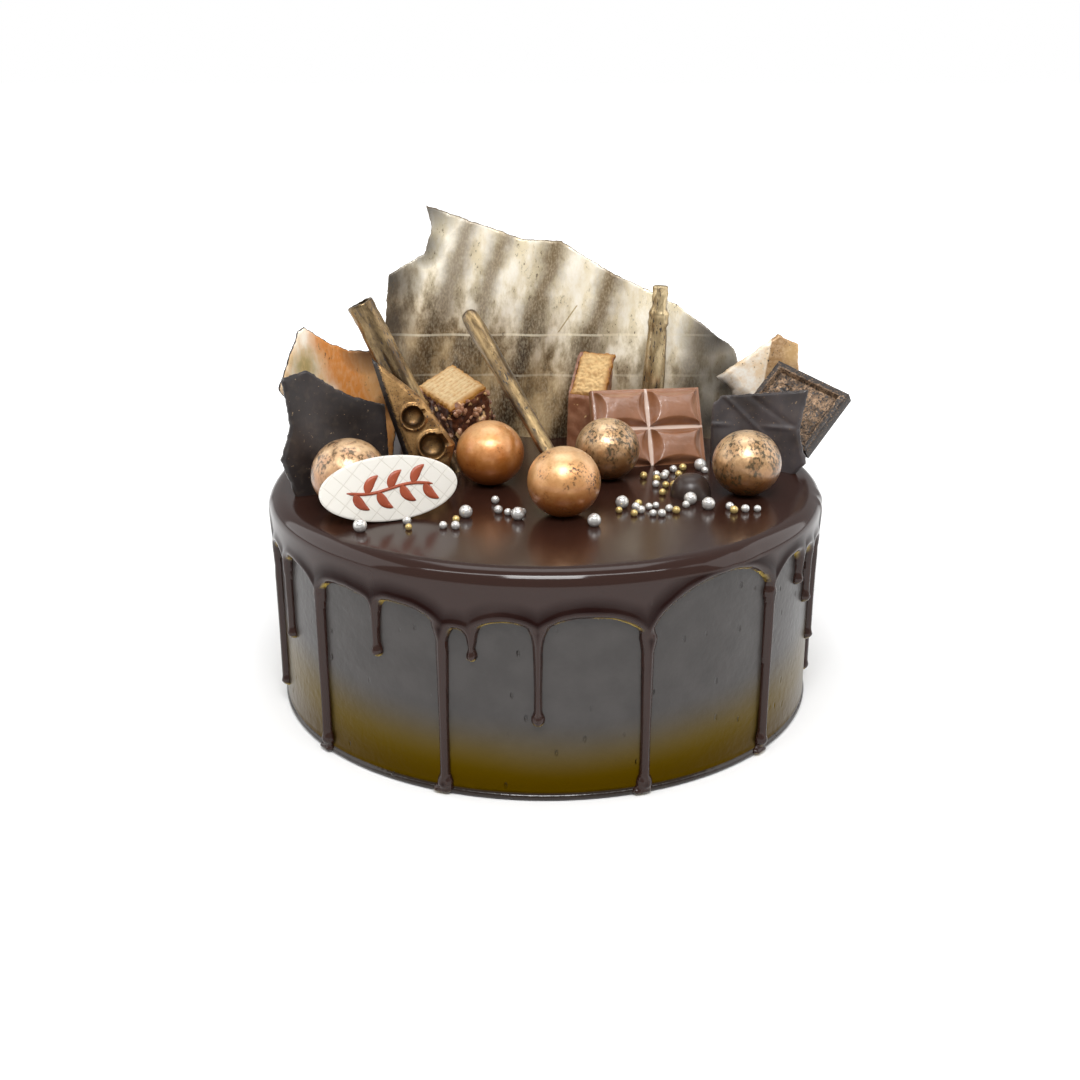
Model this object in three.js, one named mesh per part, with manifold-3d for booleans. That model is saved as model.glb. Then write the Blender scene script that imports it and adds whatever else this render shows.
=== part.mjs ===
// A chocolate cake: a round coated cake under a glaze that runs down its side in drips,
// topped with gold painted shards, rolled sticks, wafers, a chocolate bar, balls and pearls.
// Units are millimetres. +Z is up, the base stands on z = 0 and the shown front looks along -Y.
import * as THREE from "three";
import { mergeVertices } from "three/addons/utils/BufferGeometryUtils.js";
import Module from "manifold-3d";

const wasm = await Module();
wasm.setup();

// Driving dimensions of the cake and of its glaze.
const GAP = 0.4;
const CAKE_RADIUS = 89.5;
const CAKE_HEIGHT = 70.5;
const CAKE_RIM_ROUND = 3.6;
const CAKE_FOOT_ROUND = 1.2;
const GLAZE_THICKNESS = 1.6;
const GLAZE_RIM_ROUND = 5.2;
const GLAZE_INNER = CAKE_RADIUS + GAP;
const GLAZE_OUTER = GLAZE_INNER + GLAZE_THICKNESS;
const GLAZE_UNDERSIDE = CAKE_HEIGHT + GAP;
const GLAZE_TOP = GLAZE_UNDERSIDE + GLAZE_THICKNESS + 0.2;
const SEAT = GLAZE_TOP + GAP;
const CAKE_SEGMENTS = 80;

// Drips at the front, by angle from -Y towards +X: how low the glaze's edge comes beside each
// one, where its tip ends and half its width, in mm.
const FRONT_DRIPS = [
  { angle: -73.5, neck: 55, tip: 7, half: 1.3 },
  { angle: -63.5, neck: 53, tip: 30.5, half: 1.3 },
  { angle: -49.2, neck: 50, tip: 2.2, half: 1.8 },
  { angle: -33.5, neck: 55, tip: 40, half: 1.4 },
  { angle: -19.4, neck: 50.5, tip: 1.2, half: 1.9 },
  { angle: -13.7, neck: 50.5, tip: 44, half: 1.2 },
  { angle: -1.5, neck: 51, tip: 24.6, half: 1.5 },
  { angle: 18.9, neck: 47, tip: 1.2, half: 1.9 },
  { angle: 48.4, neck: 51.4, tip: 2.2, half: 1.8 },
  { angle: 60.4, neck: 59, tip: 50.5, half: 1.5 },
  { angle: 66.8, neck: 58, tip: 41, half: 1.4 },
  { angle: 74, neck: 57, tip: 23.5, half: 1.3 },
];
// The arch between each front drip and the next: where its crown is, and how high.
const FRONT_ARCHES = [
  { crown: -68.5, top: 59 },
  { crown: -59.5, top: 59.5 },
  { crown: -42.4, top: 59 },
  { crown: -29.2, top: 58.8 },
  { crown: -16.5, top: 53.4 },
  { crown: -7.4, top: 56.6 },
  { crown: 7.2, top: 58 },
  { crown: 36.5, top: 65.8 },
  { crown: 56.6, top: 62.6 },
  { crown: 63.4, top: 61 },
  { crown: 70.5, top: 60.5 },
];
const BACK_DRIP_COUNT = 13;
const BACK_DRIP_JITTER = 3;
const BACK_NECK = [49, 56];
const BACK_TIP = [3, 46];
const BACK_RISE = [5, 10];
const BACK_HALF = [1.3, 1.8];
const BACK_CROWN = [0.35, 0.65];
const DRIP_SEED = 5;
// A drip stands this proud, starts this far above its neck and ends in a drop this much wider.
const DRIP_DEPTH = 2.1;
const DRIP_OVERLAP = 3;
const DRIP_DROP = 1.35;
const DRIP_SIDES = 5;
const ARCH_COLUMNS = 5;
// The glaze's lower edge is rounded over this height.
const EDGE_ROUND = 1.2;

// Sugar pearls on the glaze: the large ones by place, and clusters of small ones by centre,
// half spreads and how many.
const LARGE_PEARLS = [
  [52.5, 5], [45.5, -31.6], [50.6, -36.8], [23.8, -35.3],
  [14.5, -52.5], [-8.5, -46.5], [-24.5, -44.5], [-55.3, -57.4],
];
const PEARL_CLUSTERS = [
  { x: 38.5, y: -12, spreadX: 6, spreadY: 11, count: 11 },
  { x: 48, y: 3.5, spreadX: 7, spreadY: 2, count: 3 },
  { x: 36, y: -38, spreadX: 9, spreadY: 6, count: 8 },
  { x: 26, y: -38, spreadX: 4, spreadY: 6, count: 4 },
  { x: -15, y: -35, spreadX: 9, spreadY: 10, count: 4 },
  { x: -36, y: -53, spreadX: 14, spreadY: 6, count: 5 },
  { x: 63, y: -38, spreadX: 7, spreadY: 3, count: 4 },
];
const SMALL_PEARL = 1.2;
const LARGE_PEARL = 2.1;
const PEARL_SINK = 0.3;
const PEARL_SEED = 11;
const PEARL_SPREAD = [0.9, 1.15];
const PEARL_TRIES = 400;
const PEARL_CLEARANCE = 0.6;
const PEARL_APART = 0.1;

// Gold dusted balls: centre on the top, and radius.
const BALLS = [
  { name: "ball_left", x: -60.9, y: -35.8, radius: 11.7, color: 0xb77448 },
  { name: "ball_centre_left", x: -18.1, y: -10.4, radius: 11.1, color: 0xb8682f },
  { name: "ball_front", x: 5.5, y: -42, radius: 11.3, color: 0xb07a45 },
  { name: "ball_centre_right", x: 20.5, y: -4.5, radius: 10.7, color: 0xa07a45 },
  { name: "ball_right", x: 64.2, y: -21.4, radius: 11, color: 0xa9794a },
];
const BALL_SQUASH = 0.96;

// Thin shards, each an outline in its own plane as [across, up] from the middle of its foot.
const GOLD_SHARD = {
  place: { x: 6, y: 46, z: 73, yaw: 0, lean: 6 },
  thickness: 1.8,
  left: [[-58, -2], [-63.6, 27.9], [-63.2, 42.3], [-61.8, 58.3], [-49.2, 65.7], [-46.2, 74], [-47.7, 82.3]],
  top: [[-47.7, 82.3], [-14.3, 70.9], [0, 70], [15.7, 60.1], [41, 47.9], [62.5, 31.9]],
  right: [[46, -2], [59.7, 20.1], [64, 25.5], [62.5, 31.9]],
  bottom: [[-58, -2], [46, -2]],
};
const FLUTE_DEPTH = 1.5;
const FLUTE_PITCH = 20.5;
const FLUTE_SLANT = 0.45;

const BRONZE_SHARD = {
  place: { x: -64, y: 8, z: 73, yaw: 20, lean: 6 },
  thickness: 1.8,
  left: [[-17, -2], [-23.4, 25.4], [-26, 29.5], [-17.6, 47.1], [-15.2, 48.6]],
  top: [[-15.2, 48.6], [-6.2, 41.9], [-0.3, 39.6], [9, 38.6]],
  right: [[11, -2], [14.4, 21.6], [9, 38.6]],
  bottom: [[-17, -2], [11, -2]],
};
const BRONZE_CURL = 0.014;
const BRONZE_CREST = -3;

const DARK_SHARD_LEFT = {
  place: { x: -62, y: -13, z: 73, yaw: 33, lean: 4 },
  thickness: 1.8,
  left: [[-20.4, -2], [-25, 12.2], [-21.4, 23.1], [-22.5, 37.7]],
  top: [[-22.5, 37.7], [-13.4, 39.4], [-5, 32.8], [1.3, 29.1], [11.8, 25.3]],
  right: [[12.5, -2], [11.8, 25.3]],
  bottom: [[-20.4, -2], [12.5, -2]],
};
const DARK_SHARD_RIGHT = {
  place: { x: 68, y: 10, z: 73, yaw: -30, lean: 6 },
  thickness: 1.8,
  left: [[-12, -2], [-12.9, 19.4], [-10.6, 22.4]],
  top: [[-10.6, 22.4], [5.3, 25.4], [20.1, 28.2]],
  right: [[17, -2], [22.3, 3.8], [18.8, 14], [20.1, 28.2]],
  bottom: [[-12, -2], [17, -2]],
};
const DARK_WAVE = 0.9;
const DARK_WAVE_PITCH = 34;
const DARK_WAVE_SLANT = 0.6;

const COPPER_SHARD = {
  place: { x: 70, y: 35.5, z: 73, yaw: 6, lean: 5 },
  thickness: 2.6,
  left: [[-3, -2], [-2, 19], [-7.3, 23.5]],
  top: [[-7.3, 23.5], [9.2, 36.4], [12.8, 39.2], [20.2, 35.4]],
  right: [[19, -2], [20.6, 26.7], [20.2, 35.4]],
  bottom: [[-3, -2], [19, -2]],
};
const COPPER_FOLD = { foot: 3, slant: 0.16, slope: 0.5 };

const SHEET_COLUMNS = 10;
const SHEET_ROWS = 7;
const GOLD_COLUMNS = 22;
const GOLD_ROWS = 8;

// Rolled sticks: centre line from foot to top, radius at each end, and the tip's share of it.
const LEFT_STICK = { foot: [-32.4, 5, 71], top: [-60.4, 5, 129.4], radii: [4.4, 4.4], tip: 1 };
const CENTRE_STICK = {
  foot: [7.1, -29.7, 77.6],
  top: [-26.1, 20, 123.6],
  radii: [2.2, 3.1],
  tip: 0.55,
};
const RIGHT_STICK = { foot: [37, 35, 71], top: [40.2, 38, 129.5], radii: [3.7, 3.5], tip: 0.5 };
const STICK_SIDES = 14;
const STICK_CLEARANCE = 6;

// The bar with two round cups: outline in its own plane, and the cups cut into its face.
const CUP_BAR = {
  place: { x: -36, y: -14.5, z: 73, yaw: 5, lean: 6 },
  outline: [[-6.5, -1], [3, -1], [6.8, 13.5], [-4.1, 29.1], [-19.2, 41.5], [-15.3, 27.4]],
  depth: 5.4,
};
const CUPS = [
  { x: -6.5, z: 22.9, radius: 3.5 },
  { x: -0.6, z: 13.5, radius: 4 },
];
const CUP_DEPTH = 3;
const CUP_RIM = 0.7;
const CUP_SIDES = 12;

// Wafer pieces under a chocolate coat.
const LEFT_WAFER = { x: -32, y: 15.5, z: 99.2, yaw: -20.5, lean: 62.2, roll: -58.9 };
const LEFT_WAFER_SIZE = { width: 12.6, height: 16, length: 26 };
const RIGHT_WAFER = { x: 13.4, y: 28.5, z: 73, yaw: -20, lean: 3, roll: 1 };
const RIGHT_WAFER_SIZE = { width: 13, height: 33, length: 11 };
const RIGHT_WAFER_CUT = { z: 18.5, slope: 52 };
const WAFER_COAT = 1.3;
const WAFER_LIP = 0.5;
// Chopped nuts half sunk in the left wafer's coat.
const NUT_COUNT = 16;
const NUT_SIZE = 1.5;
const NUT_SPREAD = [0.7, 1.3];
const NUT_PROUD = 0.5;
const NUT_SEED = 16;

// The milk chocolate bar piece of two by two domed segments.
const BAR = { x: 37.3, y: 6.9, z: 73.4, yaw: 12, lean: 28.5, roll: 1.1 };
const BAR_SIZE = { width: 38.7, height: 28, base: 3.4 };
// A segment rises to a crown half as wide as its head, and sits this deep in the base.
const SEGMENT = { gap: 1.6, rise: 3, inset: 2.6, shoulder: 0.5, crown: 0.5, sunk: 0.4 };

// The square dark piece with a sunken, gold rubbed face.
const TABLET = { x: 77, y: 13, z: 83.3, yaw: -29, lean: 43, roll: 19.6 };
const TABLET_SIZE = { width: 29.6, height: 25.4, depth: 5, rim: 2.3, sink: 1.6 };

// The oval plaque that leans on the left ball.
const PLAQUE = { x: -47.8, y: -50.2, z: 73.2, yaw: 22, lean: 14.5 };
const PLAQUE_SIZE = { width: 43, height: 19.8, depth: 2.2, shift: 1.8 };

const GANACHE = { x: 46.5, y: -22.5, radius: 6.6, height: 6.6, fullness: 0.8, steps: 5 };

// Finishes.
const FINISH = {
  coat: { color: 0x3a2f2b, roughness: 0.28, metalness: 0 },
  glaze: { color: 0x2a1713, roughness: 0.12, metalness: 0 },
  gold: { color: 0xa8935f, roughness: 0.42, metalness: 0.8 },
  bronze: { color: 0xc09057, roughness: 0.4, metalness: 0.8 },
  dark: { color: 0x2c2322, roughness: 0.4, metalness: 0 },
  milk: { color: 0x9a6444, roughness: 0.38, metalness: 0 },
  wafer: { color: 0xdcb163, roughness: 0.8, metalness: 0 },
  nutCoat: { color: 0x5e3422, roughness: 0.5, metalness: 0 },
  plaque: { color: 0xe9e6df, roughness: 0.6, metalness: 0 },
};

const radians = THREE.MathUtils.degToRad;

// Small seeded generator, so that every build draws the same numbers.
function seeded(seed) {
  let state = seed;
  return () => {
    state = (state * 48271) % 2147483647;
    return state / 2147483647;
  };
}

function between([low, high], draw) {
  return low + (high - low) * draw;
}

// A point at an angle round the cake, counted from -Y towards +X.
function around(angle, radius, z) {
  const turn = radians(angle);
  return new THREE.Vector3(radius * Math.sin(turn), -radius * Math.cos(turn), z);
}

function solidFrom(geometry) {
  const bare = geometry.clone();
  bare.deleteAttribute("normal");
  bare.deleteAttribute("uv");
  const merged = mergeVertices(bare, 1e-4);
  const vertProperties = new Float32Array(merged.attributes.position.array);
  const triVerts = new Uint32Array(merged.index.array);
  return new wasm.Manifold(new wasm.Mesh({ numProp: 3, vertProperties, triVerts }));
}

function geometryFrom(solid) {
  const mesh = solid.getMesh();
  const geometry = new THREE.BufferGeometry();
  const points = new Float32Array(mesh.vertProperties);
  geometry.setAttribute("position", new THREE.BufferAttribute(points, 3));
  geometry.setIndex(new THREE.BufferAttribute(new Uint32Array(mesh.triVerts), 1));
  geometry.computeVertexNormals();
  return geometry;
}

function geometryOf(points, faces) {
  const geometry = new THREE.BufferGeometry().setFromPoints(points);
  geometry.setIndex(faces);
  return geometry;
}

// A closed body through a row of rings of equal count, with a point at each end.
function loft(start, rings, end) {
  const count = rings[0].length;
  const points = [start, ...rings.flat(), end];
  const last = points.length - 1;
  const faces = [];
  for (let i = 0; i < count; i += 1) {
    const next = (i + 1) % count;
    faces.push(0, 1 + next, 1 + i);
    for (let row = 0; row < rings.length - 1; row += 1) {
      const low = 1 + row * count;
      const high = low + count;
      faces.push(low + i, low + next, high + next, low + i, high + next, high + i);
    }
    const top = 1 + (rings.length - 1) * count;
    faces.push(last, top + i, top + next);
  }
  return geometryOf(points, faces);
}

// A polyline's point at a fraction of its length.
function along(line, fraction) {
  const lengths = [0];
  for (let i = 1; i < line.length; i += 1) {
    const step = Math.hypot(line[i][0] - line[i - 1][0], line[i][1] - line[i - 1][1]);
    lengths.push(lengths[i - 1] + step);
  }
  const wanted = fraction * lengths[lengths.length - 1];
  let i = 1;
  while (i < line.length - 1 && lengths[i] < wanted) i += 1;
  const part = (wanted - lengths[i - 1]) / (lengths[i] - lengths[i - 1]);
  return line[i].map((value, axis) => THREE.MathUtils.lerp(line[i - 1][axis], value, part));
}

// A point of the sheet between four edge lines, blended across and up.
function patchPoint(outline, u, v) {
  const bottom = along(outline.bottom, u);
  const top = along(outline.top, u);
  const left = along(outline.left, v);
  const right = along(outline.right, v);
  return [0, 1].map((axis) => {
    const across = (1 - u) * left[axis] + u * right[axis];
    const up = (1 - v) * bottom[axis] + v * top[axis];
    const foot = (1 - u) * outline.bottom[0][axis] + u * outline.bottom.at(-1)[axis];
    const head = (1 - u) * outline.top[0][axis] + u * outline.top.at(-1)[axis];
    return across + up - ((1 - v) * foot + v * head);
  });
}

// A thin wavy sheet: both faces follow the relief, with a rim joining them.
function sheet(outline, relief, columns = SHEET_COLUMNS, rows = SHEET_ROWS) {
  const points = [];
  for (const side of [-0.5, 0.5])
    for (let row = 0; row <= rows; row += 1)
      for (let column = 0; column <= columns; column += 1) {
        const [x, z] = patchPoint(outline, column / columns, row / rows);
        points.push(new THREE.Vector3(x, relief(x, z) + side * outline.thickness, z));
      }
  const width = columns + 1;
  const back = width * (rows + 1);
  const faces = [];
  const quad = (a, b, c, d) => faces.push(a, b, c, a, c, d);
  for (let row = 0; row < rows; row += 1)
    for (let column = 0; column < columns; column += 1) {
      const at = row * width + column;
      quad(at, at + 1, at + width + 1, at + width);
      quad(back + at, back + at + width, back + at + width + 1, back + at + 1);
    }
  for (let column = 0; column < columns; column += 1) {
    const head = rows * width + column;
    quad(column, back + column, back + column + 1, column + 1);
    quad(head + 1, back + head + 1, back + head, head);
  }
  for (let row = 0; row < rows; row += 1) {
    const left = row * width;
    const right = left + columns;
    quad(left + width, back + left + width, back + left, left);
    quad(right, back + right, back + right + width, right + width);
  }
  return geometryOf(points, faces);
}

// Moves a geometry from its own plane to its place on the cake.
function placed(geometry, { x, y, z, yaw = 0, lean = 0, roll = 0 }) {
  const turn = new THREE.Euler(radians(-lean), radians(roll), radians(yaw), "ZXY");
  const matrix = new THREE.Matrix4().makeRotationFromEuler(turn);
  return geometry.clone().applyMatrix4(matrix.setPosition(x, y, z));
}

// Cuts a topping level where it would sink into the glaze.
function seated(geometry) {
  const span = 4 * CAKE_RADIUS;
  const room = new THREE.BoxGeometry(span, span, span).translate(0, 0, SEAT + span / 2);
  return geometryFrom(solidFrom(geometry).intersect(solidFrom(room)));
}

function arc(centreR, centreZ, radius, from, to, steps) {
  const points = [];
  for (let i = 0; i <= steps; i += 1) {
    const turn = radians(from + ((to - from) * i) / steps);
    points.push([centreR + radius * Math.cos(turn), centreZ + radius * Math.sin(turn)]);
  }
  return points;
}

function cakeBody() {
  const rim = CAKE_RIM_ROUND;
  const foot = CAKE_FOOT_ROUND;
  const profile = [
    [0, 0],
    ...arc(CAKE_RADIUS - foot, foot, foot, -90, 0, 2),
    ...arc(CAKE_RADIUS - rim, CAKE_HEIGHT - rim, rim, 0, 90, 3),
    [0, CAKE_HEIGHT],
  ];
  const outline = profile.map(([r, z]) => new THREE.Vector2(r, z));
  return new THREE.LatheGeometry(outline, CAKE_SEGMENTS).rotateX(Math.PI / 2);
}

// The drips and arches all the way round: the front as shown, the back by a seeded rule.
function glazeEdge() {
  const random = seeded(DRIP_SEED);
  const drips = FRONT_DRIPS.map((drip) => ({ ...drip }));
  const arches = FRONT_ARCHES.map((arch) => ({ ...arch }));
  const from = drips.at(-1).angle;
  const span = 360 + drips[0].angle - from;
  const pitch = span / (BACK_DRIP_COUNT + 1);
  for (let i = 1; i <= BACK_DRIP_COUNT; i += 1) {
    drips.push({
      angle: from + pitch * i + between([-BACK_DRIP_JITTER, BACK_DRIP_JITTER], random()),
      neck: between(BACK_NECK, random()),
      tip: between(BACK_TIP, random()),
      half: between(BACK_HALF, random()),
    });
  }
  for (let i = arches.length; i < drips.length; i += 1) {
    const next = drips[i + 1] ?? { ...drips[0], angle: drips[0].angle + 360 };
    const crown = THREE.MathUtils.lerp(drips[i].angle, next.angle, between(BACK_CROWN, random()));
    arches.push({ crown, top: Math.max(drips[i].neck, next.neck) + between(BACK_RISE, random()) });
  }
  return { drips, arches };
}

// Angle and lower edge of the glaze for each column round the cake.
function edgeColumns({ drips, arches }) {
  const columns = [];
  drips.forEach((drip, i) => {
    const next = drips[i + 1] ?? { ...drips[0], angle: drips[0].angle + 360 };
    const arch = arches[i];
    for (let step = 0; step < ARCH_COLUMNS; step += 1) {
      const turn = (Math.PI * step) / ARCH_COLUMNS;
      const share = (1 - Math.cos(turn)) / 2;
      const angle = THREE.MathUtils.lerp(drip.angle, next.angle, share);
      const side = angle < arch.crown ? drip : next;
      const reach = (angle - arch.crown) / (side.angle - arch.crown);
      const rise = Math.sqrt(Math.max(0, 1 - reach ** 2));
      columns.push({ angle, edge: side.neck + (arch.top - side.neck) * rise });
    }
  });
  return columns;
}

// The glaze sheet over the top and the rim, down to its arched edge.
function glazeSheet(columns) {
  const inner = CAKE_RIM_ROUND + GAP;
  const innerCentre = GLAZE_INNER - inner;
  const outerCentre = GLAZE_OUTER - GLAZE_RIM_ROUND;
  const rings = columns.map(({ angle, edge }) => {
    const profile = [
      ...arc(innerCentre, GLAZE_UNDERSIDE - inner, inner, 90, 0, 3),
      [GLAZE_INNER, edge],
      [GLAZE_INNER + GLAZE_THICKNESS * 0.7, edge + EDGE_ROUND / 6],
      [GLAZE_OUTER, edge + EDGE_ROUND],
      ...arc(outerCentre, GLAZE_TOP - GLAZE_RIM_ROUND, GLAZE_RIM_ROUND, 0, 90, 3),
    ];
    return profile.map(([r, z]) => around(angle, r, z));
  });
  const count = rings[0].length;
  const middles = [GLAZE_UNDERSIDE, GLAZE_TOP].map((z) => new THREE.Vector3(0, 0, z));
  const points = [...middles, ...rings.flat()];
  const faces = [];
  rings.forEach((ring, i) => {
    const here = 2 + i * count;
    const next = 2 + ((i + 1) % rings.length) * count;
    faces.push(0, next, here);
    for (let k = 0; k < count - 1; k += 1)
      faces.push(here + k, next + k, next + k + 1, here + k, next + k + 1, here + k + 1);
    faces.push(1, here + count - 1, next + count - 1);
  });
  return geometryOf(points, faces);
}

// One drip: a half round bar down the side that swells to a drop at its tip. Widths are
// multiples of its half width, depths of the depth of a drip.
function dripBody({ angle, neck, tip, half }) {
  const head = neck + DRIP_OVERLAP;
  const drop = Math.min(half * DRIP_DROP, (head - tip) / 4);
  const stations = [
    { z: tip + drop * 0.3, width: drop * 0.7, depth: 0.8 },
    { z: tip + drop, width: drop, depth: 1.1 },
    { z: tip + drop * 2.2, width: half * 0.9, depth: 0.9 },
    { z: THREE.MathUtils.lerp(tip, head, 0.4), width: half * 0.85, depth: 0.8 },
    { z: neck - 1, width: half * 1.1, depth: 0.9 },
    { z: head, width: half * 1.5, depth: 1 },
  ];
  const ring = ({ z, width, depth }) => {
    const section = [];
    for (let i = 0; i < DRIP_SIDES; i += 1) {
      const turn = (Math.PI * i) / (DRIP_SIDES - 1);
      const across = THREE.MathUtils.radToDeg((-width * Math.cos(turn)) / GLAZE_OUTER);
      const out = 0.05 + depth * DRIP_DEPTH * Math.sin(turn);
      section.push(around(angle + across, GLAZE_INNER + out, z));
    }
    return section;
  };
  const end = around(angle, GLAZE_INNER + 0.6, tip);
  const start = around(angle, GLAZE_INNER + 0.8, head + 0.2);
  return loft(end, stations.map(ring), start);
}

// How far behind the foot line of a leaning piece a point lies, and how far across it.
function fromFootLine(piece, x, y) {
  const turn = radians(piece.yaw);
  const [dx, dy] = [x - piece.x, y - piece.y];
  return {
    across: dx * Math.cos(turn) + dy * Math.sin(turn),
    behind: dy * Math.cos(turn) - dx * Math.sin(turn),
  };
}

// True where a pearl of this radius would touch a larger topping.
function occupied(x, y, radius) {
  const clear = radius + PEARL_CLEARANCE;
  const near = (spot, reach) => Math.hypot(x - spot.x, y - spot.y) < reach;
  const atBall = BALLS.some((item) => {
    const rise = item.radius * BALL_SQUASH - radius;
    return near(item, Math.sqrt(item.radius ** 2 - rise ** 2) + clear);
  });
  const atDrop = near(GANACHE, GANACHE.radius + clear);
  const [stickX, stickY] = CENTRE_STICK.foot;
  const atStick = near({ x: stickX, y: stickY }, STICK_CLEARANCE);
  const plaqueSide = fromFootLine(PLAQUE, x, y);
  const atPlaque = Math.abs(plaqueSide.across) < PLAQUE_SIZE.width / 2 && plaqueSide.behind > -clear;
  const barSide = fromFootLine(BAR, x, y);
  const atBar = Math.abs(barSide.across) < BAR_SIZE.width && barSide.behind > -clear;
  return atBall || atDrop || atStick || atPlaque || atBar;
}

// Pearls drawn at random inside each cluster, none touching another or a larger topping.
function pearlPlaces() {
  const random = seeded(PEARL_SEED);
  const found = LARGE_PEARLS.map(([x, y]) => ({ x, y, radius: LARGE_PEARL }));
  for (const cluster of PEARL_CLUSTERS) {
    let made = 0;
    for (let tries = 0; made < cluster.count && tries < PEARL_TRIES; tries += 1) {
      const radius = SMALL_PEARL * between(PEARL_SPREAD, random());
      const x = cluster.x + cluster.spreadX * between([-1, 1], random());
      const y = cluster.y + cluster.spreadY * between([-1, 1], random());
      const touching = found.some((other) =>
        Math.hypot(x - other.x, y - other.y) < radius + other.radius + PEARL_APART);
      if (touching || occupied(x, y, radius)) continue;
      found.push({ x, y, radius });
      made += 1;
    }
  }
  return found;
}

function glaze() {
  const edge = glazeEdge();
  let body = solidFrom(glazeSheet(edgeColumns(edge)));
  for (const drip of edge.drips) body = body.add(solidFrom(dripBody(drip)));
  for (const { x, y, radius } of pearlPlaces()) {
    const pearl = new THREE.OctahedronGeometry(radius, 1);
    body = body.add(solidFrom(pearl.translate(x, y, GLAZE_TOP + radius - PEARL_SINK)));
  }
  return geometryFrom(body);
}

function ball({ x, y, radius }) {
  const height = radius * BALL_SQUASH;
  return new THREE.SphereGeometry(1, 16, 10)
    .rotateX(Math.PI / 2)
    .scale(radius, radius, height)
    .translate(x, y, SEAT + height);
}

function goldRelief(x, z) {
  return FLUTE_DEPTH * Math.sin((2 * Math.PI * (x - FLUTE_SLANT * z)) / FLUTE_PITCH);
}

function bronzeRelief(x) {
  return -BRONZE_CURL * (x - BRONZE_CREST) ** 2;
}

function darkRelief(x, z) {
  return DARK_WAVE * Math.sin((2 * Math.PI * (x + DARK_WAVE_SLANT * z)) / DARK_WAVE_PITCH);
}

function copperRelief(x, z) {
  const fold = COPPER_FOLD.foot + COPPER_FOLD.slant * z;
  return COPPER_FOLD.slope * Math.max(0, fold - x);
}

// A rolled stick along a straight line, its top rounded in or cut flat.
function stick({ foot, top, radii, tip }) {
  const from = new THREE.Vector3(...foot);
  const line = new THREE.Vector3(...top).sub(from);
  const length = line.length();
  const turn = new THREE.Quaternion().setFromUnitVectors(
    new THREE.Vector3(0, 0, 1), line.clone().normalize());
  const ring = (share, radius) => {
    const section = [];
    for (let i = 0; i < STICK_SIDES; i += 1) {
      const angle = (2 * Math.PI * i) / STICK_SIDES;
      const point = new THREE.Vector3(Math.cos(angle), Math.sin(angle), 0).multiplyScalar(radius);
      section.push(point.setZ(share * length).applyQuaternion(turn).add(from));
    }
    return section;
  };
  const [low, high] = radii;
  const rings = [
    ring(0, low),
    ring(0.5, (low + high) / 2),
    ring(0.95, high),
    ring(0.985, (high * (tip + 1)) / 2),
    ring(1, high * tip * 0.8),
  ];
  return loft(from, rings, from.clone().add(line));
}

// A flat outline given the depth behind its face.
function slab(outline, depth) {
  const shape = new THREE.Shape(outline.map(([x, z]) => new THREE.Vector2(x, z)));
  return new THREE.ExtrudeGeometry(shape, { depth, bevelEnabled: false })
    .rotateX(Math.PI / 2)
    .translate(0, depth, 0);
}

function cupBar() {
  let body = solidFrom(slab(CUP_BAR.outline, CUP_BAR.depth));
  for (const { x, z, radius } of CUPS) {
    const [inner, outer] = [radius + CUP_RIM, radius + CUP_RIM * 2];
    const rim = new THREE.CylinderGeometry(outer, inner, CUP_RIM + 1, CUP_SIDES);
    const cup = new THREE.SphereGeometry(radius, CUP_SIDES, 8).scale(1, CUP_DEPTH / radius, 1);
    const wall = new THREE.CylinderGeometry(radius, radius, 2 * CUP_RIM, CUP_SIDES);
    body = body.add(solidFrom(rim.translate(x, (1 - CUP_RIM) / 2, z)));
    body = body.subtract(solidFrom(cup.translate(x, -CUP_RIM / 2, z)));
    body = body.subtract(solidFrom(wall.translate(x, -CUP_RIM, z)));
  }
  return placed(geometryFrom(body), CUP_BAR.place);
}

// A box standing on its own plane, its front face at the foot line.
function block(width, depth, height) {
  return new THREE.BoxGeometry(width, depth, height).translate(0, depth / 2, height / 2);
}

// The chopped nuts as seen on the left wafer: half on its right side, half underneath.
function nuts({ width, height, length }) {
  const random = seeded(NUT_SEED);
  const found = [];
  for (let i = 0; i < NUT_COUNT; i += 1) {
    const nut = new THREE.OctahedronGeometry(NUT_SIZE * between(NUT_SPREAD, random()), 0);
    const share = between([-0.5, 0.5], random());
    const deep = between([2, length * 0.6], random());
    const onSide = random() < 0.5;
    const across = onSide ? width / 2 + WAFER_COAT + NUT_PROUD : share * width;
    const up = onSide ? share * height : -height / 2 - WAFER_COAT - NUT_PROUD;
    found.push(solidFrom(nut.translate(across, deep, up)));
  }
  return found;
}

function leftWafer() {
  const { width, height, length } = LEFT_WAFER_SIZE;
  const core = block(width, length, height).translate(0, 0, -height / 2);
  const hole = block(width + 2 * GAP, length + 1, height + 2 * GAP)
    .translate(0, -WAFER_LIP, -height / 2 - GAP);
  const thick = 2 * (WAFER_COAT + GAP);
  const shell = block(width + thick, length - WAFER_LIP, height + thick)
    .translate(0, WAFER_LIP, -height / 2 - thick / 2);
  let coat = solidFrom(shell);
  for (const nut of nuts(LEFT_WAFER_SIZE)) coat = coat.add(nut);
  return {
    core: placed(core, LEFT_WAFER),
    coat: placed(geometryFrom(coat.subtract(solidFrom(hole))), LEFT_WAFER),
  };
}

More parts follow.
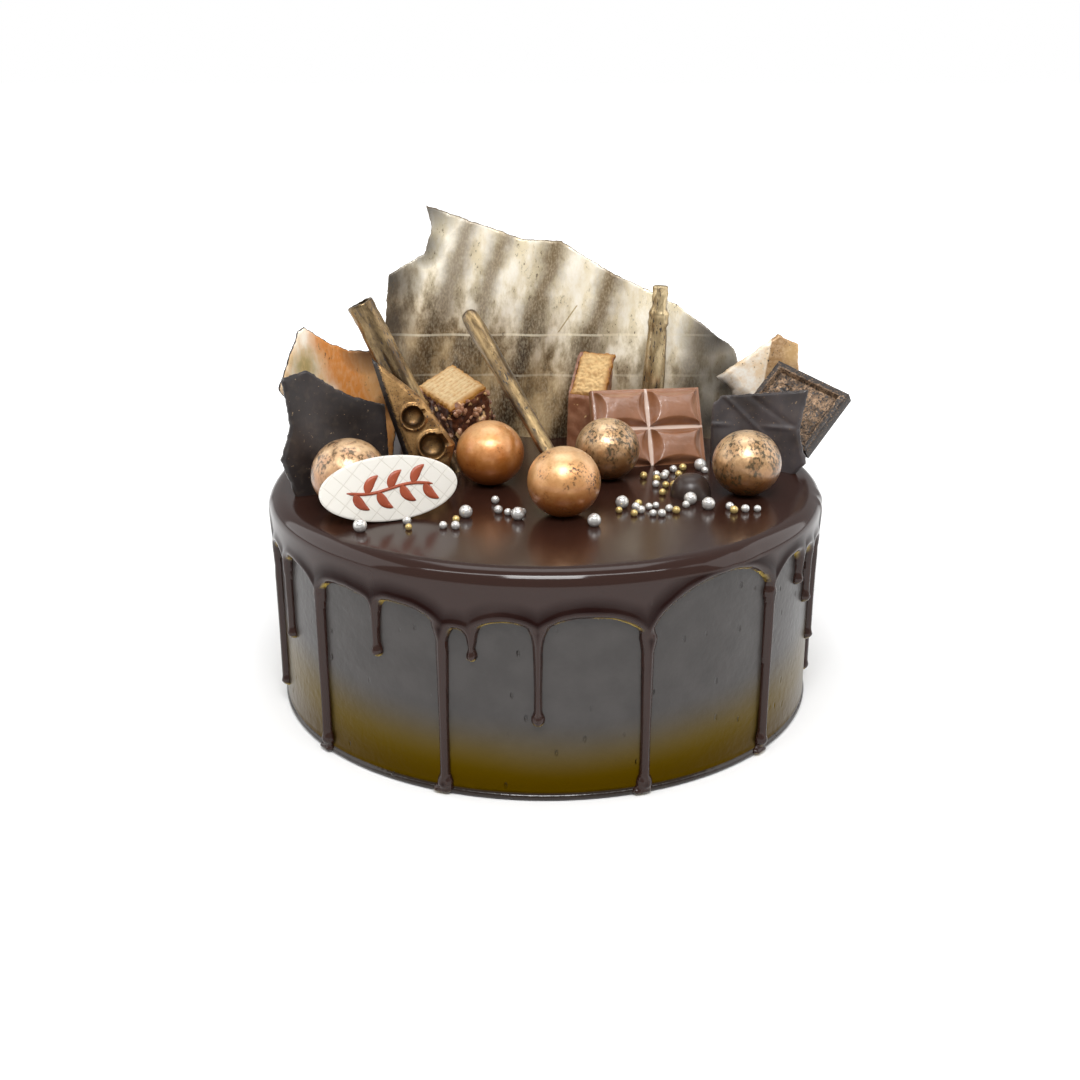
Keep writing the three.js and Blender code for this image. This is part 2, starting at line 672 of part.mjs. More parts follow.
// A wafer standing in a sleeve of coat, both cut off at a slope that faces the front.
function rightWafer() {
  const { width, height, length } = RIGHT_WAFER_SIZE;
  const thick = WAFER_COAT + GAP;
  const core = block(width - 2 * thick, length - 2 * thick, height)
    .translate(0, thick, -1);
  const hole = block(width - 2 * WAFER_COAT, length - 2 * WAFER_COAT, height + 1)
    .translate(0, WAFER_COAT, -2);
  const shell = block(width, length, height).translate(0, 0, -1);
  const span = 4 * height;
  const above = new THREE.BoxGeometry(span, span, span)
    .translate(0, 0, span / 2)
    .rotateX(radians(RIGHT_WAFER_CUT.slope))
    .translate(0, 0, RIGHT_WAFER_CUT.z);
  const cutter = solidFrom(above);
  const coat = solidFrom(shell).subtract(solidFrom(hole)).subtract(cutter);
  return {
    core: placed(geometryFrom(solidFrom(core).subtract(cutter)), RIGHT_WAFER),
    coat: placed(geometryFrom(coat), RIGHT_WAFER),
  };
}

// One domed segment of the bar, from its foot in the base to its crown.
function segment(x, z, width, height) {
  const { rise, inset, shoulder, crown, sunk } = SEGMENT;
  const [headWidth, headHeight] = [width - inset, height - inset];
  const rings = [
    rectangle(x, rise + sunk, z, width, height),
    rectangle(x, shoulder, z, headWidth, headHeight),
    rectangle(x, 0, z, headWidth * crown, headHeight * crown),
  ];
  return loft(new THREE.Vector3(x, rise + sunk, z), rings, new THREE.Vector3(x, -0.1, z));
}

function milkBar() {
  const { width, height, base } = BAR_SIZE;
  const { gap, rise } = SEGMENT;
  const [w, h] = [(width - 3 * gap) / 2, (height - 3 * gap) / 2];
  let body = solidFrom(block(width, base, height).translate(0, rise, 0));
  for (const column of [-1, 1])
    for (const row of [0, 1]) {
      const x = (column * (w + gap)) / 2;
      const z = gap + h / 2 + row * (h + gap);
      body = body.add(solidFrom(segment(x, z, w, h)));
    }
  return placed(geometryFrom(body), BAR);
}

// The corners of an upright rectangle, round in the order that loft wants.
function rectangle(x, y, z, width, height) {
  const corners = [[-1, -1], [1, -1], [1, 1], [-1, 1]];
  return corners.map(([i, k]) => new THREE.Vector3(x + (i * width) / 2, y, z + (k * height) / 2));
}

function tablet() {
  const { width, height, depth, rim, sink } = TABLET_SIZE;
  const well = [width - 2 * rim, height - 2 * rim];
  const middle = height / 2;
  const foot = rectangle(0, sink + 0.01, middle, well[0] - sink, well[1] - sink);
  const mouth = rectangle(0, -0.5, middle, well[0] + sink * 0.3, well[1] + sink * 0.3);
  const back = new THREE.Vector3(0, sink, middle);
  const hollow = loft(back, [foot, mouth], new THREE.Vector3(0, -1, middle));
  const body = solidFrom(block(width, depth, height)).subtract(solidFrom(hollow));
  return placed(geometryFrom(body), TABLET);
}

// The plaque: a flat oval.
function plaque() {
  const { width, height, depth, shift } = PLAQUE_SIZE;
  const disc = new THREE.CylinderGeometry(1, 1, depth, 40)
    .scale(width / 2, 1, height / 2)
    .translate(shift, depth / 2, height / 2);
  return placed(geometryFrom(solidFrom(disc)), PLAQUE);
}

function ganacheDrop() {
  const { x, y, radius, height, fullness, steps } = GANACHE;
  const profile = [new THREE.Vector2(0, 0)];
  for (let i = 0; i < steps; i += 1) {
    const turn = (Math.PI / 2) * (i / steps);
    profile.push(new THREE.Vector2(radius * Math.cos(turn) ** fullness, height * Math.sin(turn)));
  }
  profile.push(new THREE.Vector2(0, height));
  return new THREE.LatheGeometry(profile, 18).rotateX(Math.PI / 2).translate(x, y, SEAT);
}

const cake = new THREE.Group();

function add(name, geometry, finish) {
  const mesh = new THREE.Mesh(geometry, new THREE.MeshStandardMaterial(finish));
  mesh.name = name;
  cake.add(mesh);
}

add("cake", cakeBody(), FINISH.coat);
add("glaze", glaze(), FINISH.glaze);
for (const item of BALLS) add(item.name, ball(item), { ...FINISH.bronze, color: item.color });

const shard = (outline, relief, columns, rows) =>
  seated(placed(sheet(outline, relief, columns, rows), outline.place));
add("gold_shard", shard(GOLD_SHARD, goldRelief, GOLD_COLUMNS, GOLD_ROWS), FINISH.gold);
add("bronze_shard", shard(BRONZE_SHARD, bronzeRelief), FINISH.bronze);
add("copper_shard", shard(COPPER_SHARD, copperRelief), FINISH.bronze);
add("dark_shard_left", shard(DARK_SHARD_LEFT, darkRelief), FINISH.dark);
add("dark_shard_right", shard(DARK_SHARD_RIGHT, darkRelief), FINISH.dark);

add("stick_left", seated(stick(LEFT_STICK)), FINISH.gold);
add("stick_centre", stick(CENTRE_STICK), FINISH.gold);
add("stick_right", seated(stick(RIGHT_STICK)), FINISH.gold);
add("cup_bar", seated(cupBar()), FINISH.gold);

const waferLeft = leftWafer();
add("wafer_left_core", seated(waferLeft.core), FINISH.wafer);
add("wafer_left_coat", seated(waferLeft.coat), FINISH.nutCoat);
const waferRight = rightWafer();
add("wafer_right_core", seated(waferRight.core), FINISH.wafer);
add("wafer_right_coat", seated(waferRight.coat), FINISH.nutCoat);

add("milk_bar", seated(milkBar()), FINISH.milk);
add("dark_tablet", seated(tablet()), FINISH.dark);
add("plaque", seated(plaque()), FINISH.plaque);
add("ganache_drop", ganacheDrop(), FINISH.dark);

export default cake;
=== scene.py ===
"""A glazed chocolate cake with gold dusted toppings, dressed over its solid frame.

Shapes are worked out in millimetres and turned to metres when a mesh is made. The frame's origin
is the centre of the cake's base, +Z is up and the shown front looks along -Y.
"""

import logging
import math
from dataclasses import dataclass, field, replace
from enum import Enum
from typing import Any, Callable

import bpy
import numpy as np
from mathutils import Matrix, Vector, kdtree, noise


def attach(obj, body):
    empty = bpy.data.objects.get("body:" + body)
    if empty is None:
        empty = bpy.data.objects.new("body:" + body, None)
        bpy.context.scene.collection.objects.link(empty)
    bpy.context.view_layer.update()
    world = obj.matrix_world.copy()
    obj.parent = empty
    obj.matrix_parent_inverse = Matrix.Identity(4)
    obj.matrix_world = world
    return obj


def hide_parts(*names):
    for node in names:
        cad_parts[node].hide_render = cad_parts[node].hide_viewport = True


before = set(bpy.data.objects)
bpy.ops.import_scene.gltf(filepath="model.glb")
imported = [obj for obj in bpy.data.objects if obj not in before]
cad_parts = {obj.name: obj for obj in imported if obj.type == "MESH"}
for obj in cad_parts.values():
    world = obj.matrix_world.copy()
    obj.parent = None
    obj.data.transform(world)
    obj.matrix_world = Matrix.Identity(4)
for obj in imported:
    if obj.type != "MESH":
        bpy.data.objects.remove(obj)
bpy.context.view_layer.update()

Line = list[tuple[float, float]]
Faces = list[tuple[int, ...]]
Relief = Callable[[np.ndarray, np.ndarray], np.ndarray]
LOG = logging.getLogger("cake")
MM = 0.001

# The solids' own sizes, which the pieces here keep.
CAKE_RADIUS = 89.5
CAKE_HEIGHT = 70.5
GLAZE_OUTER = 91.5
GLAZE_TOP = 72.7
GLAZE_RIM_ROUND = 5.2
SEAT = 73.1
# Toppings reach this level, just inside the glaze, so that nothing floats on it.
SUNK_LEVEL = 72.45


def linear(code: str) -> tuple[float, float, float, float]:
    """Turns an sRGB hex colour to linear.

    Args:
        code: Six hex digits.

    Returns:
        Linear red, green and blue, and an alpha of 1.
    """
    parts = [int(code[i : i + 2], 16) / 255 for i in (0, 2, 4)]
    return (*[c / 12.92 if c <= 0.04045 else ((c + 0.055) / 1.055) ** 2.4 for c in parts], 1.0)


def per(size: float) -> float:
    """The scale that gives a texture features of a size in mm."""
    return 1 / (size * MM)


class Kind(Enum):
    """The nodes that the finishes and the node trees use."""

    ATTRIBUTE = "ShaderNodeAttribute"
    BUMP = "ShaderNodeBump"
    COORDINATES = "ShaderNodeTexCoord"
    LIGHT_PATH = "ShaderNodeLightPath"
    MATH = "ShaderNodeMath"
    MIX = "ShaderNodeMix"
    NOISE = "ShaderNodeTexNoise"
    RANGE = "ShaderNodeMapRange"
    SPLIT = "ShaderNodeSeparateXYZ"
    VECTOR = "ShaderNodeVectorMath"
    VORONOI = "ShaderNodeTexVoronoi"
    DISTRIBUTE = "GeometryNodeDistributePointsOnFaces"
    ICO_SPHERE = "GeometryNodeMeshIcoSphere"
    INSTANCE = "GeometryNodeInstanceOnPoints"
    NAMED = "GeometryNodeInputNamedAttribute"
    NORMAL = "GeometryNodeInputNormal"
    POSITION = "GeometryNodeInputPosition"
    RANDOM = "FunctionNodeRandomValue"
    REALIZE = "GeometryNodeRealizeInstances"
    SET_MATERIAL = "GeometryNodeSetMaterial"
    SET_POSITION = "GeometryNodeSetPosition"
    SMOOTH = "GeometryNodeSetShadeSmooth"
    STORE = "GeometryNodeStoreNamedAttribute"
    TRANSFORM = "GeometryNodeTransform"
    UV_SPHERE = "GeometryNodeMeshUVSphere"


def add_node(
    tree: bpy.types.NodeTree,
    kind: Kind,
    inputs: dict[str | int, Any] | None = None,
    out: str | int = 0,
    **settings: Any,
) -> bpy.types.NodeSocket:
    """Adds a node with its settings, and fills or links its inputs.

    Args:
        tree: The tree that gets the node.
        kind: Which node it is.
        inputs: A value, or a socket to link, for each input by name or number.
        out: The output wanted.
        **settings: The node's own properties.

    Returns:
        The output socket asked for.
    """
    made = tree.nodes.new(kind.value)
    for name, value in settings.items():
        setattr(made, name, value)
    for key, value in (inputs or {}).items():
        if isinstance(value, bpy.types.NodeSocket):
            tree.links.new(value, made.inputs[key])
        else:
            made.inputs[key].default_value = value
    return made.outputs[out]


@dataclass
class Brush:
    """A material being painted."""

    tree: bpy.types.NodeTree
    shader: bpy.types.Node

    def add(
        self,
        kind: Kind,
        inputs: dict[str | int, Any] | None = None,
        out: str | int = 0,
        **settings: Any,
    ) -> bpy.types.NodeSocket:
        """Adds a node to this material and returns its output, as add_node does."""
        return add_node(self.tree, kind, inputs, out, **settings)

    def place(self, name: str | None = None) -> bpy.types.NodeSocket:
        """The place on the object, or the piece's own vector attribute of that name."""
        if name is None:
            return self.add(Kind.COORDINATES, out="Object")
        return self.add(Kind.ATTRIBUTE, out="Vector", attribute_name=name)

    def value(self, name: str) -> bpy.types.NodeSocket:
        """The piece's own number attribute of that name."""
        return self.add(Kind.ATTRIBUTE, out="Fac", attribute_name=name)

    def blend(self, share: Any, low: Any, high: Any, mode: str = "MIX") -> bpy.types.NodeSocket:
        """A colour between two, or their product, each a hex code or a socket."""
        low, high = (linear(c) if isinstance(c, str) else c for c in (low, high))
        return self.add(Kind.MIX, {0: share, 6: low, 7: high}, 2, data_type="RGBA", blend_type=mode)

    def step(self, value: Any, low: float, high: float) -> bpy.types.NodeSocket:
        """0 where the value is below low and 1 above high, smooth between."""
        ends = {"Value": value, "From Min": low, "From Max": high}
        return self.add(Kind.RANGE, ends, interpolation_type="SMOOTHSTEP")

    def wear(self, **inputs: bpy.types.NodeSocket) -> None:
        """Links sockets to the shader's inputs, with _ for a space in a name."""
        for name, socket in inputs.items():
            self.tree.links.new(socket, self.shader.inputs[name.replace("_", " ")])


@dataclass(frozen=True)
class Finish:
    """What every finish has, the same all over it."""

    name: str
    roughness: float = 0.4
    metallic: float = 0.0
    ior: float = 1.5
    coat: float = 0.0
    coat_roughness: float = 0.1

    def material(self) -> bpy.types.Material:
        """Makes the material.

        Returns:
            The painted material.
        """
        made = bpy.data.materials.new(self.name)
        made.use_nodes = True
        shader = made.node_tree.nodes["Principled BSDF"]
        shader.inputs["Roughness"].default_value = self.roughness
        shader.inputs["Metallic"].default_value = self.metallic
        if not self.metallic:
            shader.inputs["IOR"].default_value = self.ior
        shader.inputs["Coat Weight"].default_value = self.coat
        shader.inputs["Coat Roughness"].default_value = self.coat_roughness
        self.paint(Brush(made.node_tree, shader))
        return made

    def paint(self, brush: Brush) -> None:
        """Paints what changes over the surface.

        Args:
            brush: The material being painted.
        """
        raise NotImplementedError


@dataclass(frozen=True)
class SatinCoat(Finish):
    """Chilled chocolate coat on the side: satin, with fine pits, and a painted olive gold reflection
    of a gold board below it, which fades in over the lowest two centimetres."""

    body: str = "393533"
    streak: str = "302c2a"
    # Colours of the painted reflection of a gold board, low on the side.
    board_reflection: str = "5a4806"
    board_reflection_deep: str = "4a3700"
    foot: str = "1d1006"
    fade: tuple[float, float] = (6.0, 27.0)
    foot_top: float = 2.6
    side_rise: float = -1.5

    def paint(self, brush: Brush) -> None:
        """Paints the body, the painted reflection of the board, the dark roll at the foot and the pits.

        Args:
            brush: The material being painted.
        """
        place = brush.place()
        height = brush.add(Kind.SPLIT, {0: place}, 2)
        drift = brush.add(Kind.NOISE, {"Vector": place, "Scale": per(60), "Detail": 1.0})
        moved = brush.add(Kind.MATH, {0: drift, 1: 0.008, 2: height}, operation="MULTIPLY_ADD")
        across = brush.add(Kind.SPLIT, {0: place}, 0)
        aside = brush.add(Kind.MATH, {0: across, 1: across}, operation="MULTIPLY")
        moved = brush.add(Kind.MATH, {0: aside, 1: self.side_rise, 2: moved}, operation="MULTIPLY_ADD")
        # Painted reflection: the board's gold rises into the coat's colour and metal over the lowest part of the
        # side, reaching higher towards the left and right.
        low, high = self.fade
        up = brush.step(moved, (low + 4) * MM, (high + 4) * MM)
        above = brush.step(height, (self.foot_top - 0.5) * MM, (self.foot_top + 0.2) * MM)
        fine = brush.add(Kind.NOISE, {"Vector": place, "Scale": per(9), "Detail": 6.0})
        body = brush.blend(brush.step(fine, 0.3, 0.75), self.streak, self.body)
        deep = brush.step(height, 0.004, 0.018)
        board_reflection = brush.blend(deep, self.board_reflection_deep, self.board_reflection)
        colour = brush.blend(above, self.foot, brush.blend(up, board_reflection, body))
        gold = brush.add(Kind.RANGE, {"Value": up, "To Min": 1.0, "To Max": 0.0})
        metal = brush.add(Kind.MATH, {0: gold, 1: above}, operation="MULTIPLY")
        gloss = brush.add(Kind.RANGE, {"Value": above, "To Min": 0.12, "To Max": self.roughness})
        drawn = brush.add(Kind.VECTOR, {0: place, 1: (1.2, 1.0, 0.6)}, operation="MULTIPLY")
        pits = brush.add(Kind.VORONOI, {"Vector": drawn, "Scale": per(6), "Randomness": 1.0})
        pit = brush.step(pits, 0.03, 0.13)
        grain = brush.add(Kind.NOISE, {"Vector": place, "Scale": per(2.4), "Detail": 4.0})
        rise = brush.add(Kind.MATH, {0: grain, 1: 0.35, 2: pit}, operation="MULTIPLY_ADD")
        bump = brush.add(Kind.BUMP, {"Strength": 1.0, "Distance": 0.0005, "Height": rise})
        brush.wear(Base_Color=colour, Metallic=metal, Normal=bump, Roughness=gloss)


@dataclass(frozen=True)
class WetGlaze(Finish):
    """Poured mirror glaze: near black with a red brown cast, darkest in the roll above each arch,
    partly for the glaze's depth there and partly as painted shade, with a thin painted gold
    reflection line along the arch's edge. The top is softer than the side."""

    thin: str = "2c1913"
    # Colour of the roll above each arch: darker partly for the glaze's depth and partly as painted shade.
    thick_and_shaded: str = "190705"
    # Colour of a painted gold reflection line along the arch edges.
    line: str = "c2a650"
    top_roughness: float = 0.2

    def paint(self, brush: Brush) -> None:
        """Paints the darker roll with its painted shade, the painted gold reflection line at the edge
        and the slow waves of the set surface.

        Args:
            brush: The material being painted.
        """
        place = brush.place()
        height = brush.add(Kind.SPLIT, {0: place}, 2)
        drift = brush.add(Kind.NOISE, {"Vector": place, "Scale": per(24), "Detail": 2.0})
        # Painted shade, in part: the roll above each arch is darkened, partly for the glaze's depth there.
        lip = brush.value("lip")
        share = brush.add(Kind.MATH, {0: lip, 1: brush.step(drift, 0.1, 0.5)}, operation="MULTIPLY")
        # Painted reflection: a thin gold line along the hanging underside of each arch's edge, broken by noise.
        streaks = brush.add(Kind.NOISE, {"Vector": place, "Scale": per(6), "Detail": 2.0})
        seen = brush.step(streaks, 0.38, 0.58)
        line = brush.add(Kind.MATH, {0: brush.value("edge"), 1: seen}, operation="MULTIPLY")
        colour = brush.blend(line, brush.blend(share, self.thin, self.thick_and_shaded), self.line)
        shine = brush.add(Kind.RANGE, {"Value": share, "To Min": 0.5, "To Max": 0.14})
        flat = brush.step(height, (GLAZE_TOP - 1.2) * MM, (GLAZE_TOP - 0.1) * MM)
        gloss = brush.add(
            Kind.RANGE, {"Value": flat, "To Min": self.roughness, "To Max": self.top_roughness}
        )
        waves = brush.add(Kind.NOISE, {"Vector": place, "Scale": per(17), "Detail": 1.0})
        bump = brush.add(Kind.BUMP, {"Strength": 0.18, "Distance": 0.0006, "Height": waves})
        brush.wear(Base_Color=colour, Specular_IOR_Level=shine, Roughness=gloss, Normal=bump)


@dataclass(frozen=True)
class GoldDust(Finish):
    """Edible metal dust brushed on chocolate: soft metal with fine grain, worn to the shade colour
    in patches, darkened by painted shade where the piece's attribute for it is set, and gone to
    bare chocolate at specks and where its bare attribute says."""

    light: str = "d8bd86"
    shade: str = "8a6a3c"
    # Colour of the painted shade.
    painted_shade: str = "4c4640"
    bare: str = "2b2220"
    patch: float = 9.0
    patch_share: tuple[float, float] = (0.35, 0.65)
    grain: float = 0.9
    grain_share: float = 0.3
    grain_depth: float = 0.00012
    stretch: tuple[float, float, float] = (1.0, 1.0, 1.0)
    speck: float = 1.3
    speck_share: tuple[float, float] = (0.62, 0.7)
    rubbed: float = 0.45
    bare_metal: float = 0.0

    def colour(self, brush: Brush, place: Any, shade: Any) -> bpy.types.NodeSocket:
        """The dust's own colour before specks and bare places.

        Args:
            brush: The material being painted.
            place: The piece's own place; not used here.
            shade: How worn the dust is, from 0 to 1.

        Returns:
            The colour.
        """
        return brush.blend(shade, self.light, self.shade)

    def paint(self, brush: Brush) -> None:
        """Paints the dust, its grain, its specks and the bare chocolate.

        Args:
            brush: The material being painted.
        """
        place = brush.place("local")
        drawn = brush.add(Kind.VECTOR, {0: place, 1: self.stretch}, operation="MULTIPLY")
        worn = brush.add(
            Kind.NOISE, {"Vector": drawn, "Scale": per(self.patch), "Detail": 5.0, "Roughness": 0.62}
        )
        shade = brush.step(worn, *self.patch_share)
        grain = brush.add(Kind.NOISE, {"Vector": drawn, "Scale": per(self.grain), "Detail": 4.0})
        colour = self.colour(brush, place, shade)
        dusty = brush.blend(brush.step(grain, 0.3, 0.62), self.shade, colour)
        colour = brush.blend(self.grain_share, colour, dusty)
        # Painted shade: darkens the dust where the piece sets it, at shaded edges, wells and flanks.
        colour = brush.blend(brush.value("painted_shade"), colour, self.painted_shade)
        specks = brush.add(Kind.NOISE, {"Vector": drawn, "Scale": per(self.speck), "Detail": 3.0})
        rubbed = brush.step(worn, self.rubbed - 0.08, self.rubbed + 0.08)
        spots = brush.step(specks, *self.speck_share)
        speck = brush.add(Kind.MATH, {0: spots, 1: rubbed}, operation="MULTIPLY")
        gone = brush.value("bare")
        torn = brush.add(Kind.MATH, {0: specks, 1: 0.9, 2: gone}, operation="MULTIPLY_ADD")
        bare = brush.add(Kind.MATH, {0: speck, 1: brush.step(torn, 0.85, 1.1)}, operation="MAXIMUM")
        metal = brush.add(Kind.RANGE, {"Value": bare, "To Min": self.metallic, "To Max": self.bare_metal})
        rough = brush.add(
            Kind.RANGE, {"Value": grain, "To Min": self.roughness - 0.1, "To Max": self.roughness + 0.12}
        )
        bump = brush.add(Kind.BUMP, {"Strength": 0.5, "Distance": self.grain_depth, "Height": grain})
        brush.wear(
            Base_Color=brush.blend(bare, colour, self.bare), Metallic=metal, Roughness=rough, Normal=bump
        )


@dataclass(frozen=True)
class FlutedGold(GoldDust):
    """Pale gold over the fluted shard: dark bands of painted shade lean between bright ones along
    the flutes, strongest in its upper part, crossed by fine pale lines where its mould was joined
    and by one scratch."""

    slant: float = 0.335
    # Painted shade bands along the flutes, each (centre, half width, strength).
    bands: tuple[tuple[float, float, float], ...] = (
        (-59.0, 7.5, 0.8), (-44.3, 7.5, 0.85), (-24.5, 9.0, 0.95), (-1.5, 8.5, 0.95), (39.0, 9.0, 0.7),
    )
    band: str = "6c5a3f"
    scratched: str = "c4b698"
    low: str = "b39970"
    low_shade: str = "6b5538"
    rise: tuple[float, float] = (18.0, 52.0)
    tilt: float = 0.35
    line: str = "fff4da"
    seams: tuple[tuple[float, float], ...] = ((37.0, 0.4), (22.5, 0.2))
    scratch: tuple[float, float, float] = (2.1, 42.6, 4.8)

    def colour(self, brush: Brush, place: Any, shade: Any) -> bpy.types.NodeSocket:
        """Painted shade bands, the browner foot, the pale lines and the scratch.

        Args:
            brush: The material being painted.
            place: The piece's own place.
            shade: How worn the dust is, from 0 to 1.

        Returns:
            The colour.
        """
        across = brush.add(Kind.SPLIT, {0: place}, 0)
        up = across.node.outputs[2]
        drift = brush.add(Kind.NOISE, {"Vector": place, "Scale": per(14), "Detail": 6.0, "Roughness": 0.6})
        slanted = brush.add(Kind.MATH, {0: up, 1: -self.slant, 2: across}, operation="MULTIPLY_ADD")
        moved = brush.add(Kind.MATH, {0: drift, 1: 0.012, 2: slanted}, operation="MULTIPLY_ADD")
        # Painted shade: dark bands that follow the flutes' slopes.
        dark = None
        for centre, half, strength in self.bands:
            middle = (centre + 6) * MM
            away = brush.add(Kind.MATH, {0: moved, 1: middle}, operation="SUBTRACT")
            away = brush.add(Kind.MATH, {0: away}, operation="ABSOLUTE")
            ends = {"Value": away, "From Min": half * MM, "From Max": 0.0005, "To Max": strength}
            near = brush.add(Kind.RANGE, ends, interpolation_type="SMOOTHSTEP")
            dark = near if dark is None else brush.add(Kind.MATH, {0: dark, 1: near}, operation="MAXIMUM")
        level = brush.add(Kind.MATH, {0: across, 1: self.tilt, 2: up}, operation="MULTIPLY_ADD")
        cloud = brush.add(Kind.MATH, {0: shade, 1: -0.012, 2: level}, operation="MULTIPLY_ADD")
        high = brush.step(cloud, (self.rise[0] - 6) * MM, (self.rise[1] - 6) * MM)
        worn = brush.blend(shade, self.light, self.shade)
        base = brush.blend(high, brush.blend(shade, self.low, self.low_shade), worn)
        colour = brush.blend(dark, base, self.band, "MULTIPLY")
        for level, share in self.seams:
            near = brush.add(Kind.MATH, {0: up, 1: level * MM, 2: 0.0004}, operation="COMPARE")
            faint = brush.add(Kind.MATH, {0: near, 1: share}, operation="MULTIPLY")
            colour = brush.blend(faint, colour, self.line)
        x, z, reach = self.scratch
        moved = brush.add(Kind.MATH, {0: up, 1: -0.7, 2: across}, operation="MULTIPLY_ADD")
        on_line = brush.add(Kind.MATH, {0: moved, 1: (x - 0.7 * z) * MM, 2: 0.0003}, operation="COMPARE")
        within = brush.add(Kind.MATH, {0: up, 1: z * MM, 2: reach * MM}, operation="COMPARE")
        scratch = brush.add(Kind.MATH, {0: on_line, 1: within}, operation="MULTIPLY")
        return brush.blend(scratch, colour, self.scratched, "MULTIPLY")


@dataclass(frozen=True)
class StreakedBronze(GoldDust):
    """Dust brushed on chocolate: pale gold at the left, a slanting copper streak of painted shade
    across the middle of the curl, and beige beyond it."""

    # Colour of the copper streak of painted shade.
    streak: str = "d88940"
    patch_colour: str = "a8955e"
    beige: str = "dca468"
    slant: float = 0.36
    centre: float = 8.5
    half: float = 5.0
    patch_at: tuple[float, float] = (-17.6, 36.0)

    def colour(self, brush: Brush, place: Any, shade: Any) -> bpy.types.NodeSocket:
        """The painted shade streak, and an olive patch near the upper left edge.

        Args:
            brush: The material being painted.
            place: The piece's own place.
            shade: How worn the dust is, from 0 to 1.

        Returns:
            The colour.
        """
        across = brush.add(Kind.SPLIT, {0: place}, 0)
        up = across.node.outputs[2]
        drift = brush.add(Kind.NOISE, {"Vector": place, "Scale": per(10), "Detail": 4.0})
        slanted = brush.add(Kind.MATH, {0: up, 1: self.slant, 2: across}, operation="MULTIPLY_ADD")
        moved = brush.add(Kind.MATH, {0: drift, 1: 0.008, 2: slanted}, operation="MULTIPLY_ADD")
        # Painted shade: the copper streak across the curl.
        start, end = (self.centre + 4 - self.half) * MM, (self.centre + 4 + self.half) * MM
        into = brush.step(moved, start - 0.003, start + 0.003)
        beyond = brush.step(moved, end - 0.002, end + 0.004)
        worn = brush.blend(shade, self.light, self.shade)
        colour = brush.blend(beyond, brush.blend(into, worn, self.streak), self.beige)
        spot = brush.add(
            Kind.VECTOR,
            {0: place, 1: (self.patch_at[0] * MM, 0.0, self.patch_at[1] * MM)},
            "Value",
            operation="DISTANCE",
        )
        near = brush.add(Kind.MATH, {0: drift, 1: -0.008, 2: spot}, operation="MULTIPLY_ADD")
        return brush.blend(brush.step(near, 0.004, -0.002), colour, self.patch_colour)


@dataclass(frozen=True)
class FoldedCopper(GoldDust):
    """Two dusts that meet at the shard's fold: cream gold to the left of it, and rose copper with
    a paler outer edge to the right."""

    copper: str = "a27d53"
    pale: str = "c19c69"
    fold: tuple[float, float] = (4.0, 0.17)
    patch_at: tuple[float, float] = (18.5, 32.7)

    def colour(self, brush: Brush, place: Any, shade: Any) -> bpy.types.NodeSocket:
        """Picks the side of the fold.

        Args:
            brush: The material being painted.
            place: The piece's own place.
            shade: How worn the dust is, from 0 to 1.

        Returns:
            The colour.
        """
        across = brush.add(Kind.SPLIT, {0: place}, 0)
        up = across.node.outputs[2]
        leaning = brush.add(Kind.MATH, {0: up, 1: -self.fold[1], 2: across}, operation="MULTIPLY_ADD")
        beyond = brush.step(leaning, (self.fold[0] - 0.3) * MM, (self.fold[0] + 0.3) * MM)
        spot = (self.patch_at[0] * MM, 0.0, self.patch_at[1] * MM)
        away = brush.add(Kind.VECTOR, {0: place, 1: spot}, "Value", operation="DISTANCE")
        copper = brush.blend(brush.step(away, 0.006, 0.002), self.copper, self.pale)
        return brush.blend(beyond, brush.blend(shade, self.light, self.shade), copper)


@dataclass(frozen=True)
class PlainChocolate(Finish):
    """Tempered chocolate: satin, with slow sheen bands, a fine bloom and dusty specks."""

    body: str = "2b2423"
    sheen: str = "3d3635"
    speck_colour: str = "7d6a55"
    band: float = 16.0
    bloom: float = 0.12

    def paint(self, brush: Brush) -> None:
        """Paints the bands, the bloom and the specks.

        Args:
            brush: The material being painted.
        """
        place = brush.place("local")
        slow = brush.add(Kind.NOISE, {"Vector": place, "Scale": per(self.band), "Detail": 2.0})
        fine = brush.add(Kind.NOISE, {"Vector": place, "Scale": per(2.2), "Detail": 5.0})
        colour = brush.blend(brush.step(slow, 0.35, 0.65), self.body, self.sheen)
        bloom = brush.step(fine, 0.45, 0.8)
        faint = brush.add(Kind.MATH, {0: bloom, 1: self.bloom}, operation="MULTIPLY")
        colour = brush.blend(faint, colour, self.speck_colour)
        dots = brush.add(Kind.NOISE, {"Vector": place, "Scale": per(0.9), "Detail": 1.0})
        dot = brush.step(dots, 0.72, 0.76)
        colour = brush.blend(dot, colour, self.speck_colour)
        rough = brush.add(
            Kind.RANGE, {"Value": fine, "To Min": self.roughness - 0.08, "To Max": self.roughness + 0.1}
        )
        bump = brush.add(Kind.BUMP, {"Strength": 0.35, "Distance": 0.00018, "Height": fine})
        brush.wear(Base_Color=colour, Roughness=rough, Normal=bump)


@dataclass(frozen=True)
class MilkChocolate(Finish):
    """Moulded milk chocolate: smooth and satin, with a pale bloom left in the mould's grooves."""

    body: str = "926244"
    warm: str = "825436"
    groove: str = "ccb3a3"

    def paint(self, brush: Brush) -> None:
        """Paints the bloom in the grooves and slight clouding.

        Args:
            brush: The material being painted.
        """
        place = brush.place("local")
        cloud = brush.add(Kind.NOISE, {"Vector": place, "Scale": per(8), "Detail": 3.0})
        body = brush.blend(brush.step(cloud, 0.3, 0.7), self.warm, self.body)
        fine = brush.add(Kind.NOISE, {"Vector": place, "Scale": per(2.6), "Detail": 2.0})
        bump = brush.add(Kind.BUMP, {"Strength": 0.5, "Distance": 0.00035, "Height": fine})
        brush.wear(Base_Color=brush.blend(brush.value("groove"), body, self.groove), Normal=bump)


